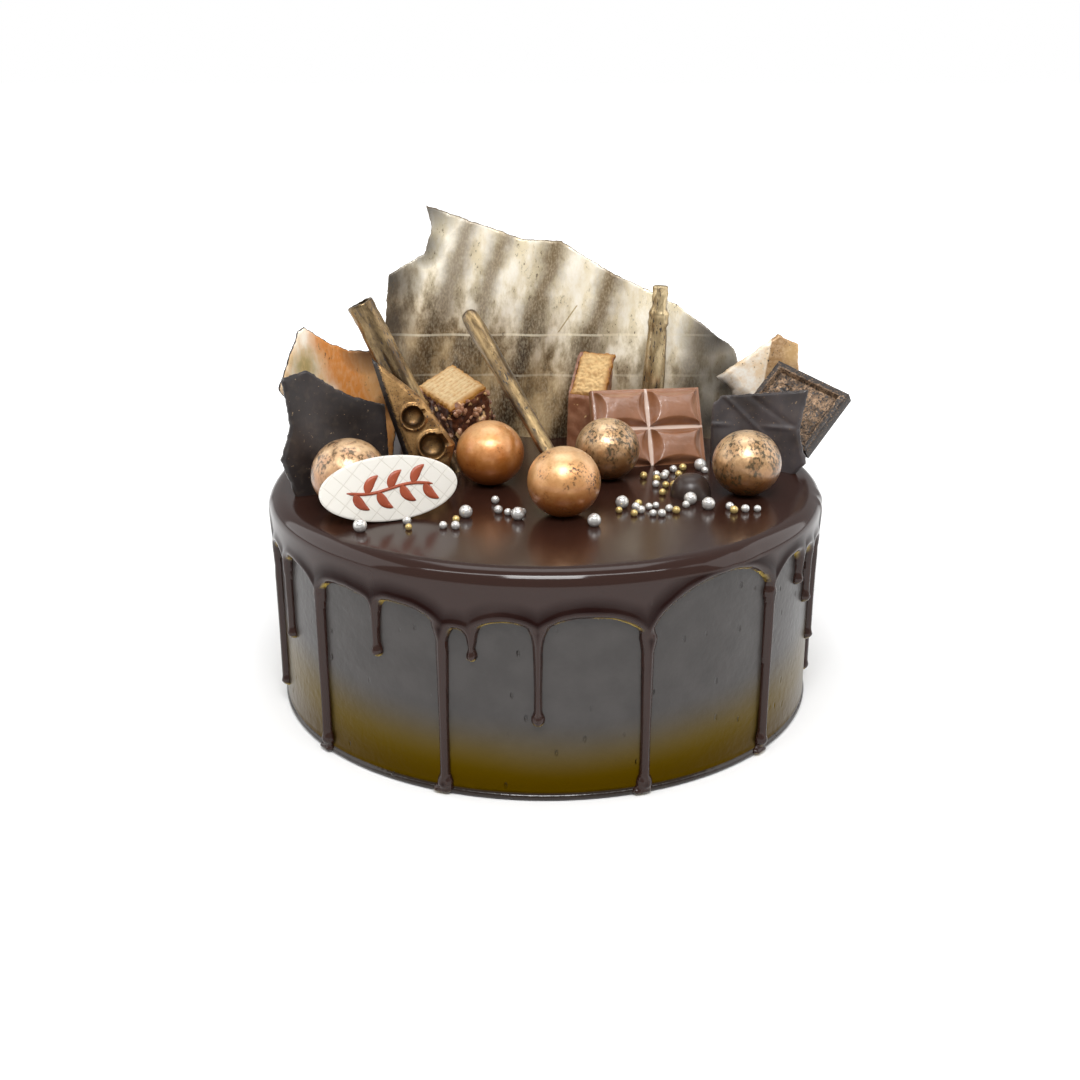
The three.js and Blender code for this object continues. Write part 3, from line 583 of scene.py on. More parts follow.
@dataclass(frozen=True)
class WaferCrumb(Finish):
    """Baked wafer, cut open: pale yellow, layered or crumbly, toasted towards its edge."""

    pale: str = "eed9a2"
    toasted: str = "c98f34"
    layer: float = 1.7
    layered: float = 0.8

    def paint(self, brush: Brush) -> None:
        """Paints the layers, the crumb and the toasted edge.

        Args:
            brush: The material being painted.
        """
        place = brush.place("local")
        crumb = brush.add(Kind.NOISE, {"Vector": place, "Scale": per(1.5), "Detail": 5.0})
        across = brush.add(Kind.SPLIT, {0: place}, 2)
        bent = brush.add(Kind.MATH, {0: crumb, 1: 0.0006, 2: across}, operation="MULTIPLY_ADD")
        turns = brush.add(Kind.MATH, {0: bent, 1: math.tau * per(self.layer)}, operation="MULTIPLY")
        wave = brush.add(Kind.MATH, {0: turns}, operation="SINE")
        lines = brush.add(Kind.MATH, {0: brush.step(wave, 0.1, 0.9), 1: self.layered}, operation="MULTIPLY")
        speckle = brush.step(crumb, 0.42, 0.66)
        share = brush.add(Kind.MATH, {0: speckle, 1: 0.45, 2: lines}, operation="MULTIPLY_ADD")
        half = brush.add(Kind.MATH, {0: share, 1: 0.75}, operation="MULTIPLY")
        edge = brush.add(Kind.MATH, {0: half, 1: brush.value("edge")}, operation="MAXIMUM")
        bump = brush.add(Kind.BUMP, {"Strength": 0.7, "Distance": 0.0003, "Height": crumb})
        brush.wear(Base_Color=brush.blend(edge, self.pale, self.toasted), Normal=bump)


@dataclass(frozen=True)
class NutCoat(Finish):
    """Chocolate poured over chopped nuts: glossy red brown lumps with paler nut showing."""

    body: str = "3c2014"
    high: str = "6b402a"
    nut: str = "d6b07a"
    nut_share: tuple[float, float] = (0.62, 0.7)

    def paint(self, brush: Brush) -> None:
        """Paints the lumps and the nuts.

        Args:
            brush: The material being painted.
        """
        place = brush.place()
        lump = brush.add(Kind.NOISE, {"Vector": place, "Scale": per(3.2), "Detail": 4.0})
        nuts = brush.add(Kind.NOISE, {"Vector": place, "Scale": per(2.6), "Detail": 2.0})
        body = brush.blend(brush.step(lump, 0.35, 0.65), self.body, self.high)
        bump = brush.add(Kind.BUMP, {"Strength": 0.6, "Distance": 0.0004, "Height": lump})
        brush.wear(Base_Color=brush.blend(brush.step(nuts, *self.nut_share), body, self.nut), Normal=bump)


@dataclass(frozen=True)
class SugarPlaque(Finish):
    """Rolled sugar paste: matte off-white, pressed with a fine lattice of diamonds."""

    body: str = "e0dcd3"
    # Colour of the painted shade in the pressed lines.
    line: str = "cfc9be"
    lattice: float = 6.2

    def paint(self, brush: Brush) -> None:
        """Presses the lattice and darkens its lines with painted shade.

        Args:
            brush: The material being painted.
        """
        place = brush.place("local")
        across = brush.add(Kind.SPLIT, {0: place}, 0)
        up = across.node.outputs[2]
        pressed = None
        for operation in ("ADD", "SUBTRACT"):
            slanted = brush.add(Kind.MATH, {0: across, 1: up}, operation=operation)
            turns = brush.add(Kind.MATH, {0: slanted, 1: math.pi * per(self.lattice)}, operation="MULTIPLY")
            wave = brush.add(Kind.MATH, {0: turns}, operation="SINE")
            near = brush.add(Kind.MATH, {0: wave}, operation="ABSOLUTE")
            line = brush.step(near, 0.0, 0.16)
            pressed = line if pressed is None else brush.add(
                Kind.MATH, {0: pressed, 1: line}, operation="MINIMUM"
            )
        grain = brush.add(Kind.NOISE, {"Vector": place, "Scale": per(1.1), "Detail": 3.0})
        rise = brush.add(Kind.MATH, {0: grain, 1: 0.25, 2: pressed}, operation="MULTIPLY_ADD")
        bump = brush.add(Kind.BUMP, {"Strength": 0.35, "Distance": 0.0003, "Height": rise})
        # The lines' darker colour is painted shade.
        brush.wear(Base_Color=brush.blend(pressed, self.line, self.body), Normal=bump)


@dataclass(frozen=True)
class SugarPearl(Finish):
    """Polished sugar pearls: most silver white, some champagne gold, both with a soft metal skin."""

    silver: str = "d9d7d3"
    champagne: str = "d2b878"

    def paint(self, brush: Brush) -> None:
        """Picks each pearl's colour and dulls its skin a little.

        Args:
            brush: The material being painted.
        """
        place = brush.place()
        skin = brush.add(Kind.NOISE, {"Vector": place, "Scale": per(0.9), "Detail": 2.0})
        bump = brush.add(Kind.BUMP, {"Strength": 0.3, "Distance": 0.00008, "Height": skin})
        brush.wear(Base_Color=brush.blend(brush.value("gold"), self.silver, self.champagne), Normal=bump)


class Finishes:
    """Every finish of the cake, by the piece that it dresses."""

    coat = SatinCoat("satin chocolate coat", roughness=0.3)
    glaze = WetGlaze("poured glaze", roughness=0.1, ior=1.42)
    gold_shard = FlutedGold(
        "pale gold dust", roughness=0.34, metallic=0.2, light="fff8e8", shade="eddfbe",
        patch=7.0, patch_share=(0.38, 0.64), grain=0.6, grain_share=0.2, grain_depth=0.0003,
        stretch=(1.0, 1.0, 0.5), speck=0.7, speck_share=(0.58, 0.68), rubbed=0.58, bare="5a4a34",
        painted_shade="3d3833",
    )
    bronze_shard = StreakedBronze(
        "streaked bronze dust", roughness=0.34, metallic=0.25, light="fff4e2", shade="e6c294",
        painted_shade="6a4424", patch=5.0, stretch=(1.0, 1.0, 0.4), speck=0.7, speck_share=(0.6, 0.7), rubbed=0.58,
    )
    copper_shard = FoldedCopper(
        "folded copper dust", roughness=0.36, metallic=0.2, light="fff8ec", shade="ecd0aa",
        painted_shade="3a3d48", patch=5.0, speck=0.8, speck_share=(0.6, 0.7), rubbed=0.55,
    )
    dark_shard = PlainChocolate("plain chocolate sheet", roughness=0.36, body="211b1a", sheen="322c2b")
    right_shard = PlainChocolate("creased chocolate sheet", roughness=0.3, body="332e2e", sheen="4d4748")
    stick = GoldDust(
        "bronze dust on rolled sticks", roughness=0.3, metallic=0.85, coat=0.25, coat_roughness=0.2,
        light="bfa273", shade="5e4a32", painted_shade="2e241a", patch=4.0, patch_share=(0.36, 0.62), grain=0.7,
        grain_share=0.4, stretch=(1.0, 1.0, 0.3), speck=0.7, speck_share=(0.56, 0.66), bare="241a14",
    )
    # A lighter copy of the stick dust, painted light for the right stick.
    lit_stick = replace(stick, name="bronze dust on a rolled stick, painted lighter", light="dcc69c", shade="97805a")
    cup_bar = GoldDust(
        "bronze dust on the moulded bar", roughness=0.36, metallic=0.85, light="c49b66", shade="7d5c38",
        painted_shade="2c1d12", patch=6.0, grain=0.5, speck=0.6, speck_share=(0.56, 0.66), bare="1c1411",
    )
    tablet = GoldDust(
        "gold rubbed tablet", roughness=0.45, metallic=0.5, light="a5876a", shade="4c3c2e",
        bare="221b18", patch=3.0, grain=0.6, grain_share=0.6, grain_depth=0.0003, speck=0.7,
        speck_share=(0.5, 0.6), rubbed=0.4,
    )
    wafer_left = WaferCrumb("layered wafer", roughness=0.75, layered=0.4, pale="c6ad83", toasted="a26e26")
    wafer_right = WaferCrumb(
        "crumbly wafer", roughness=0.8, layered=0.1, pale="cfae7a", toasted="95601f"
    )
    nut_coat = NutCoat("nut chocolate", roughness=0.35)
    smooth_coat = NutCoat(
        "smooth milk coat", roughness=0.4, body="7a4c33", high="8f6248", nut_share=(0.7, 0.76)
    )
    milk_bar = MilkChocolate("moulded milk chocolate", roughness=0.24, coat=0.6, coat_roughness=0.36)
    plaque = SugarPlaque("sugar paste", roughness=0.6)
    sprig = PlainChocolate(
        "piped red brown icing", roughness=0.35, body="8a3a20", sheen="a24a2a", speck_colour="b5603c"
    )
    ganache = PlainChocolate("set ganache", roughness=0.34, body="2e211c", sheen="3a2f2a", bloom=0.05)
    pearl = SugarPearl("sugar pearls", roughness=0.24, metallic=0.6)


@dataclass(frozen=True)
class BallGold(GoldDust):
    """Dust on a ball, darkened deep and red towards its underside with painted shade, and lightened
    at its top with a painted highlight.
    """

    # Painted shade towards the underside and a painted highlight at the top, with their spans.
    painted_under_shade: str = "96602c"
    top: str = "e2be90"
    painted_under_span: tuple[float, float] = (-7.0, 4.0)
    painted_highlight_span: tuple[float, float] = (0.0, 9.0)

    def colour(self, brush: Brush, place: Any, shade: Any) -> bpy.types.NodeSocket:
        """Darkens the dust with painted shade towards the underside and lightens its top with a painted highlight.

        Args:
            brush: The material being painted.
            place: The piece's own place.
            shade: How worn the dust is, from 0 to 1.

        Returns:
            The colour.
        """
        up = brush.add(Kind.SPLIT, {0: place}, 2)
        cloud = brush.add(Kind.NOISE, {"Vector": place, "Scale": per(6), "Detail": 4.0})
        moved = brush.add(Kind.MATH, {0: cloud, 1: 0.01, 2: up}, operation="MULTIPLY_ADD")
        # Painted shade darkens the underside and a painted highlight lightens the top.
        above, crown = (
            brush.step(moved, (low + 5) * MM, (high + 5) * MM) for low, high in (self.painted_under_span, self.painted_highlight_span)
        )
        body = brush.blend(above, self.painted_under_shade, brush.blend(shade, self.light, self.shade))
        return brush.blend(crown, body, brush.blend(shade, self.top, self.light))


class BallDust(Enum):
    """How each ball was dusted."""

    SPECKLED_COPPER = BallGold(
        "speckled copper dust", roughness=0.4, metallic=0.5, coat=1.0, coat_roughness=0.24,
        light="c2936a", shade="9a704a", bare_metal=0.55, bare="5a4626", patch=5.0, grain_depth=0.0003, speck=1.0,
        speck_share=(0.42, 0.6), rubbed=0.5, stretch=(1.0, 1.0, 0.7),
    )
    SMOOTH_COPPER = BallGold(
        "smooth copper dust", roughness=0.4, metallic=0.5, coat=1.0, coat_roughness=0.24,
        light="d8924e", shade="b86c2c", bare_metal=0.55, bare="5a2c10", patch=9.0, speck=0.9, speck_share=(0.5, 0.66),
        rubbed=0.62, painted_under_shade="b0611a", top="e0ae74",
    )
    SMOOTH_BRONZE = BallGold(
        "smooth bronze dust", roughness=0.4, metallic=0.5, coat=1.0, coat_roughness=0.24,
        light="d89e60", shade="b4783c", bare_metal=0.55, bare="4c3012", patch=7.0, grain_depth=0.0002, speck=0.8,
        speck_share=(0.48, 0.64), rubbed=0.56, painted_under_shade="a45a1a", top="e2b884",
    )
    RUBBED_GOLD = BallGold(
        "rubbed gold dust", roughness=0.36, metallic=0.6, coat=1.0, coat_roughness=0.24,
        light="cda272", shade="8c6238", bare_metal=0.55, bare="524020", patch=6.0, patch_share=(0.4, 0.6),
        grain_depth=0.0004, speck=0.9, speck_share=(0.42, 0.6), rubbed=0.47, stretch=(1.0, 1.0, 0.65),
        painted_under_shade="8a5522",
    )


class Seeded:
    """The small seeded generator that the solids were drawn with."""

    def __init__(self, seed: int) -> None:
        """Starts the generator.

        Args:
            seed: Its first state.
        """
        self.state = seed

    def draw(self, low: float = 0.0, high: float = 1.0) -> float:
        """The next number between low and high."""
        self.state = self.state * 48271 % 2147483647
        return low + (high - low) * self.state / 2147483647


@dataclass(frozen=True)
class Place:
    """Where a topping stands: a point in mm, and its turns in degrees."""

    x: float
    y: float
    z: float = 73.0
    yaw: float = 0.0
    lean: float = 0.0
    roll: float = 0.0

    def put(self, points: np.ndarray) -> np.ndarray:
        """Moves points from the topping's own frame to the cake's.

        Args:
            points: Points with x across, y away from the viewer and z up, in mm.

        Returns:
            The points in the cake's frame, in mm.
        """
        turn = (
            Matrix.Rotation(math.radians(self.yaw), 3, "Z")
            @ Matrix.Rotation(-math.radians(self.lean), 3, "X")
            @ Matrix.Rotation(math.radians(self.roll), 3, "Y")
        )
        return points @ np.array(turn).T + np.array([self.x, self.y, self.z])


def lumps(points: np.ndarray, size: float, seed: int) -> np.ndarray:
    """Smooth noise at each point.

    Args:
        points: An array whose last axis holds 2 or 3 coordinates in mm.
        size: The lumps' size in mm.
        seed: Which noise it is.

    Returns:
        A number from about -1 to 1 for each point.
    """
    flat = points.reshape(-1, points.shape[-1]) / size + seed * 17.3
    if flat.shape[1] == 2:
        flat = np.column_stack([flat, np.full(len(flat), seed * 3.1)])
    return np.array([noise.noise(p) for p in flat.tolist()]).reshape(points.shape[:-1])


def make_object(
    name: str,
    points: np.ndarray,
    faces: Faces,
    material: bpy.types.Material,
    local: np.ndarray | None = None,
    values: dict[str, np.ndarray] | None = None,
    sharp: float = 40.0,
) -> bpy.types.Object:
    """Makes a mesh object whose place is in its mesh.

    Args:
        name: The object's name.
        points: Its points in the cake's frame, in mm.
        faces: Its faces, seen counterclockwise from outside.
        material: Its material.
        local: Each point in the piece's own frame, in mm, for patterns that follow it.
        values: A number at each point for each attribute that the material reads.
        sharp: The angle between faces, in degrees, above which an edge is sharp.

    Returns:
        The linked object.
    """
    mesh = bpy.data.meshes.new(name)
    mesh.from_pydata((points * MM).tolist(), [], faces)
    mesh.shade_smooth()
    mesh.set_sharp_from_angle(angle=math.radians(sharp))
    own = points if local is None else local
    mesh.attributes.new("local", "FLOAT_VECTOR", "POINT").data.foreach_set("vector", (own * MM).ravel())
    for key, numbers in (values or {}).items():
        mesh.attributes.new(key, "FLOAT", "POINT").data.foreach_set("value", np.ravel(numbers))
    mesh.materials.append(material)
    made = bpy.data.objects.new(name, mesh)
    bpy.context.scene.collection.objects.link(made)
    return made


def settle(piece: bpy.types.Object, slot: str, *nodes: str) -> None:
    """Ties a finished piece to the cake's frame.

    Args:
        piece: The piece.
        slot: The record's material slot; not used.
        *nodes: The solids that it stands for.
    """
    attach(piece, "root")
    if nodes:
        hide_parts(*nodes)
    LOG.info("%s: %d faces, for %s", piece.name, len(piece.data.polygons), ", ".join(nodes) or "itself")


def seated(points: np.ndarray) -> np.ndarray:
    """Keeps points from sinking below the glaze's skin.

    Args:
        points: Points in the cake's frame, in mm.

    Returns:
        The points, none below the level that toppings reach.
    """
    kept = points.copy()
    kept[..., 2] = np.maximum(kept[..., 2], SUNK_LEVEL)
    return kept


def ring_faces(rings: int, count: int, first: int = 0) -> Faces:
    """Faces between closed rings of equal count, each ring counterclockwise from the next side.

    Args:
        rings: How many rings there are.
        count: Points on each ring.
        first: The index of the first ring's first point.

    Returns:
        The faces.
    """
    index = first + np.arange(rings * count).reshape(rings, count)
    nearby = np.roll(index, -1, axis=1)
    quads = np.stack([index[:-1], nearby[:-1], nearby[1:], index[1:]], -1)
    return [tuple(q) for q in quads.reshape(-1, 4).tolist()]


def closed_rings(rings: np.ndarray, start: Any, end: Any) -> tuple[np.ndarray, Faces]:
    """A closed body through rings, with a point at each end.

    Args:
        rings: Points by ring, point on the ring and axis.
        start: The point before the first ring.
        end: The point after the last ring.

    Returns:
        The points and the faces.
    """
    number, count = rings.shape[:2]
    points = np.concatenate([rings.reshape(-1, 3), [start], [end]])
    faces = ring_faces(number, count)
    top = (number - 1) * count
    for i in range(count):
        after = (i + 1) % count
        faces.append((number * count, after, i))
        faces.append((number * count + 1, top + i, top + after))
    return points, faces


def slab(grid: np.ndarray, front: np.ndarray, back: np.ndarray) -> tuple[np.ndarray, Faces]:
    """A closed slab between two faces over one grid.

    Args:
        grid: Across and up, by row and column, in mm.
        front: How deep the front face lies at each grid point.
        back: How deep the back face lies.

    Returns:
        The points and the faces.
    """
    sides = [np.stack([grid[..., 0], depth, grid[..., 1]], -1) for depth in (front, back)]
    points = np.concatenate([side.reshape(-1, 3) for side in sides])
    index = np.arange(front.size).reshape(front.shape)
    quads = np.stack([index[:-1, :-1], index[:-1, 1:], index[1:, 1:], index[1:, :-1]], -1).reshape(-1, 4)
    loop = np.concatenate([index[0], index[1:, -1], index[-1, -2::-1], index[-2:0:-1, 0]])
    after = np.roll(loop, -1)
    walls = np.stack([loop, loop + front.size, after + front.size, after], -1)
    every = np.concatenate([quads, quads[:, ::-1] + front.size, walls])
    return points, [tuple(face) for face in every.tolist()]


def crowded(count: int, span: float, rim: float = 0.9) -> np.ndarray:
    """Shares from 0 to 1 that crowd together at both ends, so that an edge can be rounded.

    Args:
        count: Shares in the middle.
        span: The whole length, in mm.
        rim: The length at each end that is crowded, in mm.

    Returns:
        The shares.
    """
    near = np.array([0.0, 0.4 * rim, rim]) / span
    return np.concatenate([near[:2], np.linspace(near[2], 1 - near[2], count), 1 - near[1::-1]])


def along(line: Line, share: np.ndarray) -> np.ndarray:
    """Points of a polyline at shares of its length.

    Args:
        line: The polyline.
        share: Shares from 0 to 1.

    Returns:
        A point for each share.
    """
    points = np.array(line, float)
    steps = np.hypot(*np.diff(points, axis=0).T)
    lengths = np.concatenate([[0.0], np.cumsum(steps)])
    return np.stack([np.interp(share * lengths[-1], lengths, points[:, k]) for k in (0, 1)], -1)


def length(line: Line) -> float:
    """A polyline's length."""
    return float(np.hypot(*np.diff(np.array(line, float), axis=0).T).sum())


@dataclass(frozen=True)
class Outline:
    """The four edges of a piece in its own plane, as (across, up) in mm."""

    left: Line
    top: Line
    right: Line
    bottom: Line

    def spans(self) -> tuple[float, float]:
        """Its mean width and height in mm."""
        width = (length(self.bottom) + length(self.top)) / 2
        return width, (length(self.left) + length(self.right)) / 2

    def patch(self, u: np.ndarray, v: np.ndarray) -> np.ndarray:
        """Blends the edges across the patch.

        Args:
            u: Shares across.
            v: Shares up.

        Returns:
            Across and up at each row and column, in mm.
        """
        bottom, top = along(self.bottom, u)[None], along(self.top, u)[None]
        left, right = along(self.left, v)[:, None], along(self.right, v)[:, None]
        across, up = u[None, :, None], v[:, None, None]
        sides = (1 - across) * left + across * right
        ends = (1 - up) * bottom + up * top
        foot = (1 - across) * bottom[:, :1] + across * bottom[:, -1:]
        head = (1 - across) * top[:, :1] + across * top[:, -1:]
        return sides + ends - ((1 - up) * foot + up * head)


@dataclass
class Sheet:
    """A thin broken shard: a wavy sheet with ragged, rounded edges."""

    name: str
    place: Place
    outline: Outline
    relief: Relief
    finish: Finish
    slot: str
    thickness: float = 1.8
    columns: int = 90
    rows: int = 70
    ragged: float = 0.35
    bare: float = 0.0
    # Spots of painted shade, each (across, up, size) in mm.
    painted_shade: tuple[tuple[float, float, float], ...] = ()
    seed: int = 1

    def build(self) -> None:
        """Builds, dresses and settles the shard."""
        width, height = self.outline.spans()
        u, v = crowded(self.columns, width), crowded(self.rows, height)
        grid = self.outline.patch(u, v)
        side = np.minimum(u, 1 - u)[None] * width
        ends = np.minimum(v, 1 - v)[:, None] * height
        reach = np.minimum(side, ends)
        loose = np.clip(1 - reach / 3, 0, 1)[..., None] * self.ragged
        shift = [lumps(grid, 2.4, self.seed + k) + 0.6 * lumps(grid, 0.9, self.seed + k) for k in (0, 1)]
        grid = grid + loose * np.stack(shift, -1)
        middle = self.relief(grid[..., 0], grid[..., 1]) + 0.12 * lumps(grid, 9, self.seed)
        half = self.thickness / 2 * np.interp(reach, [0, 0.4, 0.9], [0.45, 0.85, 1.0])
        points, faces = slab(grid, middle - half, middle + half)
        bare = np.clip(1 - reach / self.bare, 0, 1) if self.bare else np.zeros_like(reach)
        # Painted shade: darkens the shard in spots where it lies in shade.
        painted_shade = np.zeros_like(reach)
        for x, z, size in self.painted_shade:
            away = np.hypot(grid[..., 0] - x, grid[..., 1] - z) / size
            painted_shade = np.maximum(painted_shade, np.clip(1 - away, 0, 1) ** 0.55)
        values = {"bare": np.tile(bare.ravel(), 2), "painted_shade": np.tile(painted_shade.ravel(), 2)}
        placed = seated(self.place.put(points))
        piece = make_object("broken_" + self.name, placed, faces, self.finish.material(), points, values)
        settle(piece, self.slot, self.name)


@dataclass(frozen=True)
class Drip:
    """One drip: its angle from -Y towards +X in degrees, the glaze's edge beside it, its tip and
    half its width, in mm."""

    angle: float
    neck: float
    tip: float
    half: float


@dataclass
class Glaze:
    """The glaze over the top and the side: one skin over the arches and the drips, with a rolled
    lip at its lower edge."""

    drips: list[Drip] = field(default_factory=lambda: [
        Drip(-73.5, 55, 7, 1.3), Drip(-63.5, 53, 30.5, 1.3), Drip(-49.2, 50, 2.2, 1.8),
        Drip(-33.5, 55, 40, 1.4), Drip(-19.4, 50.5, 1.2, 1.9), Drip(-13.7, 50.5, 44, 1.2),
        Drip(-1.5, 51, 24.6, 1.5), Drip(18.9, 47, 1.2, 1.9), Drip(48.4, 51.4, 2.2, 1.8),
        Drip(60.4, 59, 50.5, 1.5), Drip(66.8, 58, 41, 1.4), Drip(74, 57, 23.5, 1.3),
    ])
    arches: list[tuple[float, float]] = field(default_factory=lambda: [
        (-68.5, 59), (-59.5, 59.5), (-42.4, 59), (-29.2, 58.8), (-16.5, 53.4), (-7.4, 56.6),
        (7.2, 58), (36.5, 65.8), (56.6, 62.6), (63.4, 61), (70.5, 60.5),
    ])
    back_count: int = 13
    seed: int = 5
    columns: int = 1200
    row: float = 0.48
    lowest: float = 0.5
    lip_width: float = 2.2
    lip_rise: float = 0.45
    fillet: float = 2.4
    far: float = 14.0
    sunk: float = 0.6

    def edge(self) -> None:
        """Adds the back's drips and arches by the rule that the solid follows."""
        random = Seeded(self.seed)
        start, first = self.drips[-1].angle, self.drips[0]
        pitch = (360 + first.angle - start) / (self.back_count + 1)
        for i in range(1, self.back_count + 1):
            angle = start + pitch * i + random.draw(-3, 3)
            self.drips.append(Drip(angle, random.draw(49, 56), random.draw(3, 46), random.draw(1.3, 1.8)))
        self.drips.append(Drip(first.angle + 360, first.neck, first.tip, first.half))
        for i in range(len(self.arches), len(self.drips) - 1):
            here, after = self.drips[i], self.drips[i + 1]
            crown = here.angle + (after.angle - here.angle) * random.draw(0.35, 0.65)
            self.arches.append((crown, max(here.neck, after.neck) + random.draw(5, 10)))

    def skirt(self, angles: np.ndarray, levels: np.ndarray) -> np.ndarray:
        """Signed distance from the arched edge.

        Args:
            angles: Each column's angle, in degrees.
            levels: Each row's height, in mm.

        Returns:
            The distance by row and column, in mm, positive in the glaze.
        """
        arc = math.radians(1) * GLAZE_OUTER
        edge = np.zeros_like(angles)
        curve = []
        for (crown, top), here, after in zip(self.arches, self.drips, self.drips[1:]):
            for side in (here, after):
                span = side.angle - crown
                reach = (angles - crown) / span
                inside = (reach >= 0) & (reach <= 1)
                rise = np.sqrt(np.clip(1 - reach[inside] ** 2, 0, 1))
                edge[inside] = side.neck + (top - side.neck) * rise
                turn = np.linspace(0, math.pi / 2, 160)
                at = crown + span * np.sin(turn)
                curve.append(np.stack([at * arc, side.neck + (top - side.neck) * np.cos(turn)], -1))
        points = np.concatenate(curve)
        round_trip = 360 * arc
        tree = kdtree.KDTree(3 * len(points))
        for k, offset in enumerate((-round_trip, 0.0, round_trip)):
            for i, (s, z) in enumerate(points.tolist()):
                tree.insert((s + offset, z, 0), k * len(points) + i)
        tree.balance()
        away = np.full((len(levels), len(angles)), self.far)
        near = np.abs(levels[:, None] - edge[None]) < self.far
        for row, column in zip(*np.nonzero(near)):
            away[row, column] = tree.find((angles[column] * arc, levels[row], 0))[2]
        return np.where(levels[:, None] > edge[None], away, -away)

    @staticmethod
    def join(one: np.ndarray, other: np.ndarray, blend: float) -> np.ndarray:
        """Joins two signed distances with a fillet of the given size."""
        close = np.maximum(blend - np.abs(one - other), 0) / blend
        return np.maximum(one, other) + close**2 * blend / 4

    def drip_field(self, drip: Drip, aside: np.ndarray, levels: np.ndarray) -> np.ndarray:
        """Signed distance from one drip's edge.

        Args:
            drip: The drip.
            aside: How far each column is from its middle, in mm.
            levels: Each row's height, in mm.

        Returns:
            The distance by row and column, positive in the drip.
        """
        head = drip.neck + 3
        drop = min(drip.half * 1.35, (head - drip.tip) / 4)
        heights = [drip.tip + drop, drip.tip + 2.4 * drop, drip.tip + (head - drip.tip) * 0.4, drip.neck - 1, head]
        widths = [0.7 * drop, drip.half * 0.85, drip.half * 0.82, drip.half * 1.05, drip.half * 1.5]
        across, up = np.meshgrid(aside, levels)
        half = np.interp(up, heights, widths)
        beyond = np.maximum(np.maximum(heights[0] - up, up - head), 0)
        line = half - np.hypot(across, beyond)
        bulb = drop - np.hypot(across, up - (drip.tip + drop))
        joined = self.join(line, bulb, 1.2)
        if drip.tip < 2.5 and abs(drip.angle) < 60:
            foot = np.clip(across, -2.8, 1.0)
            joined = self.join(joined, 1.15 - np.hypot(across - foot, up - 1.25), 1.5)
        return joined

    def depth(self, away: np.ndarray) -> np.ndarray:
        """How far the skin stands out from the cake at a distance from its edge.

        Args:
            away: Distance from the edge, in mm.

        Returns:
            The depth in mm.
        """
        share = np.clip(away / self.lip_width, 0, 1)
        roll = self.lip_rise * np.exp(-(((away - 2.0) / 1.5) ** 2))
        return (GLAZE_OUTER - CAKE_RADIUS + roll) * np.sqrt(1 - (1 - share) ** 2)

    def side(
        self, angles: np.ndarray, levels: np.ndarray, away: np.ndarray
    ) -> tuple[list[tuple[float, float, float]], Faces, np.ndarray]:
        """The skin on the side, cut cleanly along its edge.

        Args:
            angles: Each column's angle, in degrees.
            levels: Each row's height, in mm.
            away: Distance from the edge by row and column.

        Returns:
            Points as (angle, height, distance), faces, and the top row's indices.
        """
        points: list[tuple[float, float, float]] = []
        index = np.full(away.shape, -1)
        for row, column in zip(*np.nonzero(away > 0)):
            index[row, column] = len(points)
            points.append((angles[column], levels[row], away[row, column]))
        crossings: dict[tuple[int, int, int, int], int] = {}
        faces: Faces = []
        count = len(angles)
        turn = 360 / count
        some = (away > 0) | (np.roll(away, -1, 1) > 0)
        some = some[:-1] | some[1:]
        for row, column in zip(*np.nonzero(some)):
            after = (column + 1) % count
            corners = [(row, column), (row, after), (row + 1, after), (row + 1, column)]
            inside = [index[c] >= 0 for c in corners]
            if all(inside):
                faces.append(tuple(int(index[c]) for c in corners))
                continue
            face = []
            for k, here in enumerate(corners):
                there = corners[(k + 1) % 4]
                if inside[k]:
                    face.append(int(index[here]))
                if inside[k] == inside[(k + 1) % 4]:
                    continue
                low, high = min(here, there), max(here, there)
                key = (*low, *high)
                if key not in crossings:
                    share = away[low] / (away[low] - away[high])
                    step = high[1] - low[1]
                    step = step if abs(step) <= 1 else -1
                    angle = angles[low[1]] + turn * step * share
                    crossings[key] = len(points)
                    points.append((angle, levels[low[0]] + (levels[high[0]] - levels[low[0]]) * share, 0.0))
                face.append(crossings[key])
            if len(face) > 2:
                faces.append(tuple(face))
        return points, faces, index[-1]

    def build(self) -> None:
        """Builds, dresses and settles the glaze."""
        self.edge()
        angles = self.drips[0].angle + 360 * np.arange(self.columns) / self.columns
        shoulder = GLAZE_TOP - GLAZE_RIM_ROUND
        levels = np.linspace(self.lowest, shoulder, round((shoulder - self.lowest) / self.row))
        away = self.skirt(angles, levels)
        arc = math.radians(1) * GLAZE_OUTER
        for drip in self.drips[:-1]:
            aside = ((angles - drip.angle + 180) % 360 - 180) * arc
            close = np.abs(aside) < 9
            away[:, close] = self.join(away[:, close], self.drip_field(drip, aside[close], levels), self.fillet)
        turn = np.broadcast_to(np.radians(angles), away.shape)
        rise = np.broadcast_to(levels[:, None], away.shape)
        uneven = np.stack([GLAZE_OUTER * np.sin(turn), GLAZE_OUTER * np.cos(turn), rise], -1)
        away += 0.3 * lumps(uneven, 5, 12) * np.clip((levels[:, None] - 44) / 6, 0, 1)
        away[0] = np.minimum(away[0], -0.05)
        points, faces, top_row = self.side(angles, levels, away)
        table = np.array(points)
        turn = np.radians(table[:, 0])
        out = CAKE_RADIUS - 0.05 + self.depth(table[:, 2])
        body = np.stack([out * np.sin(turn), -out * np.cos(turn), table[:, 1]], -1)
        wave = 0.14 * lumps(body, 21, 3) * np.clip(table[:, 2] / 3, 0, 1)
        body[:, :2] *= (1 + wave / out)[:, None]
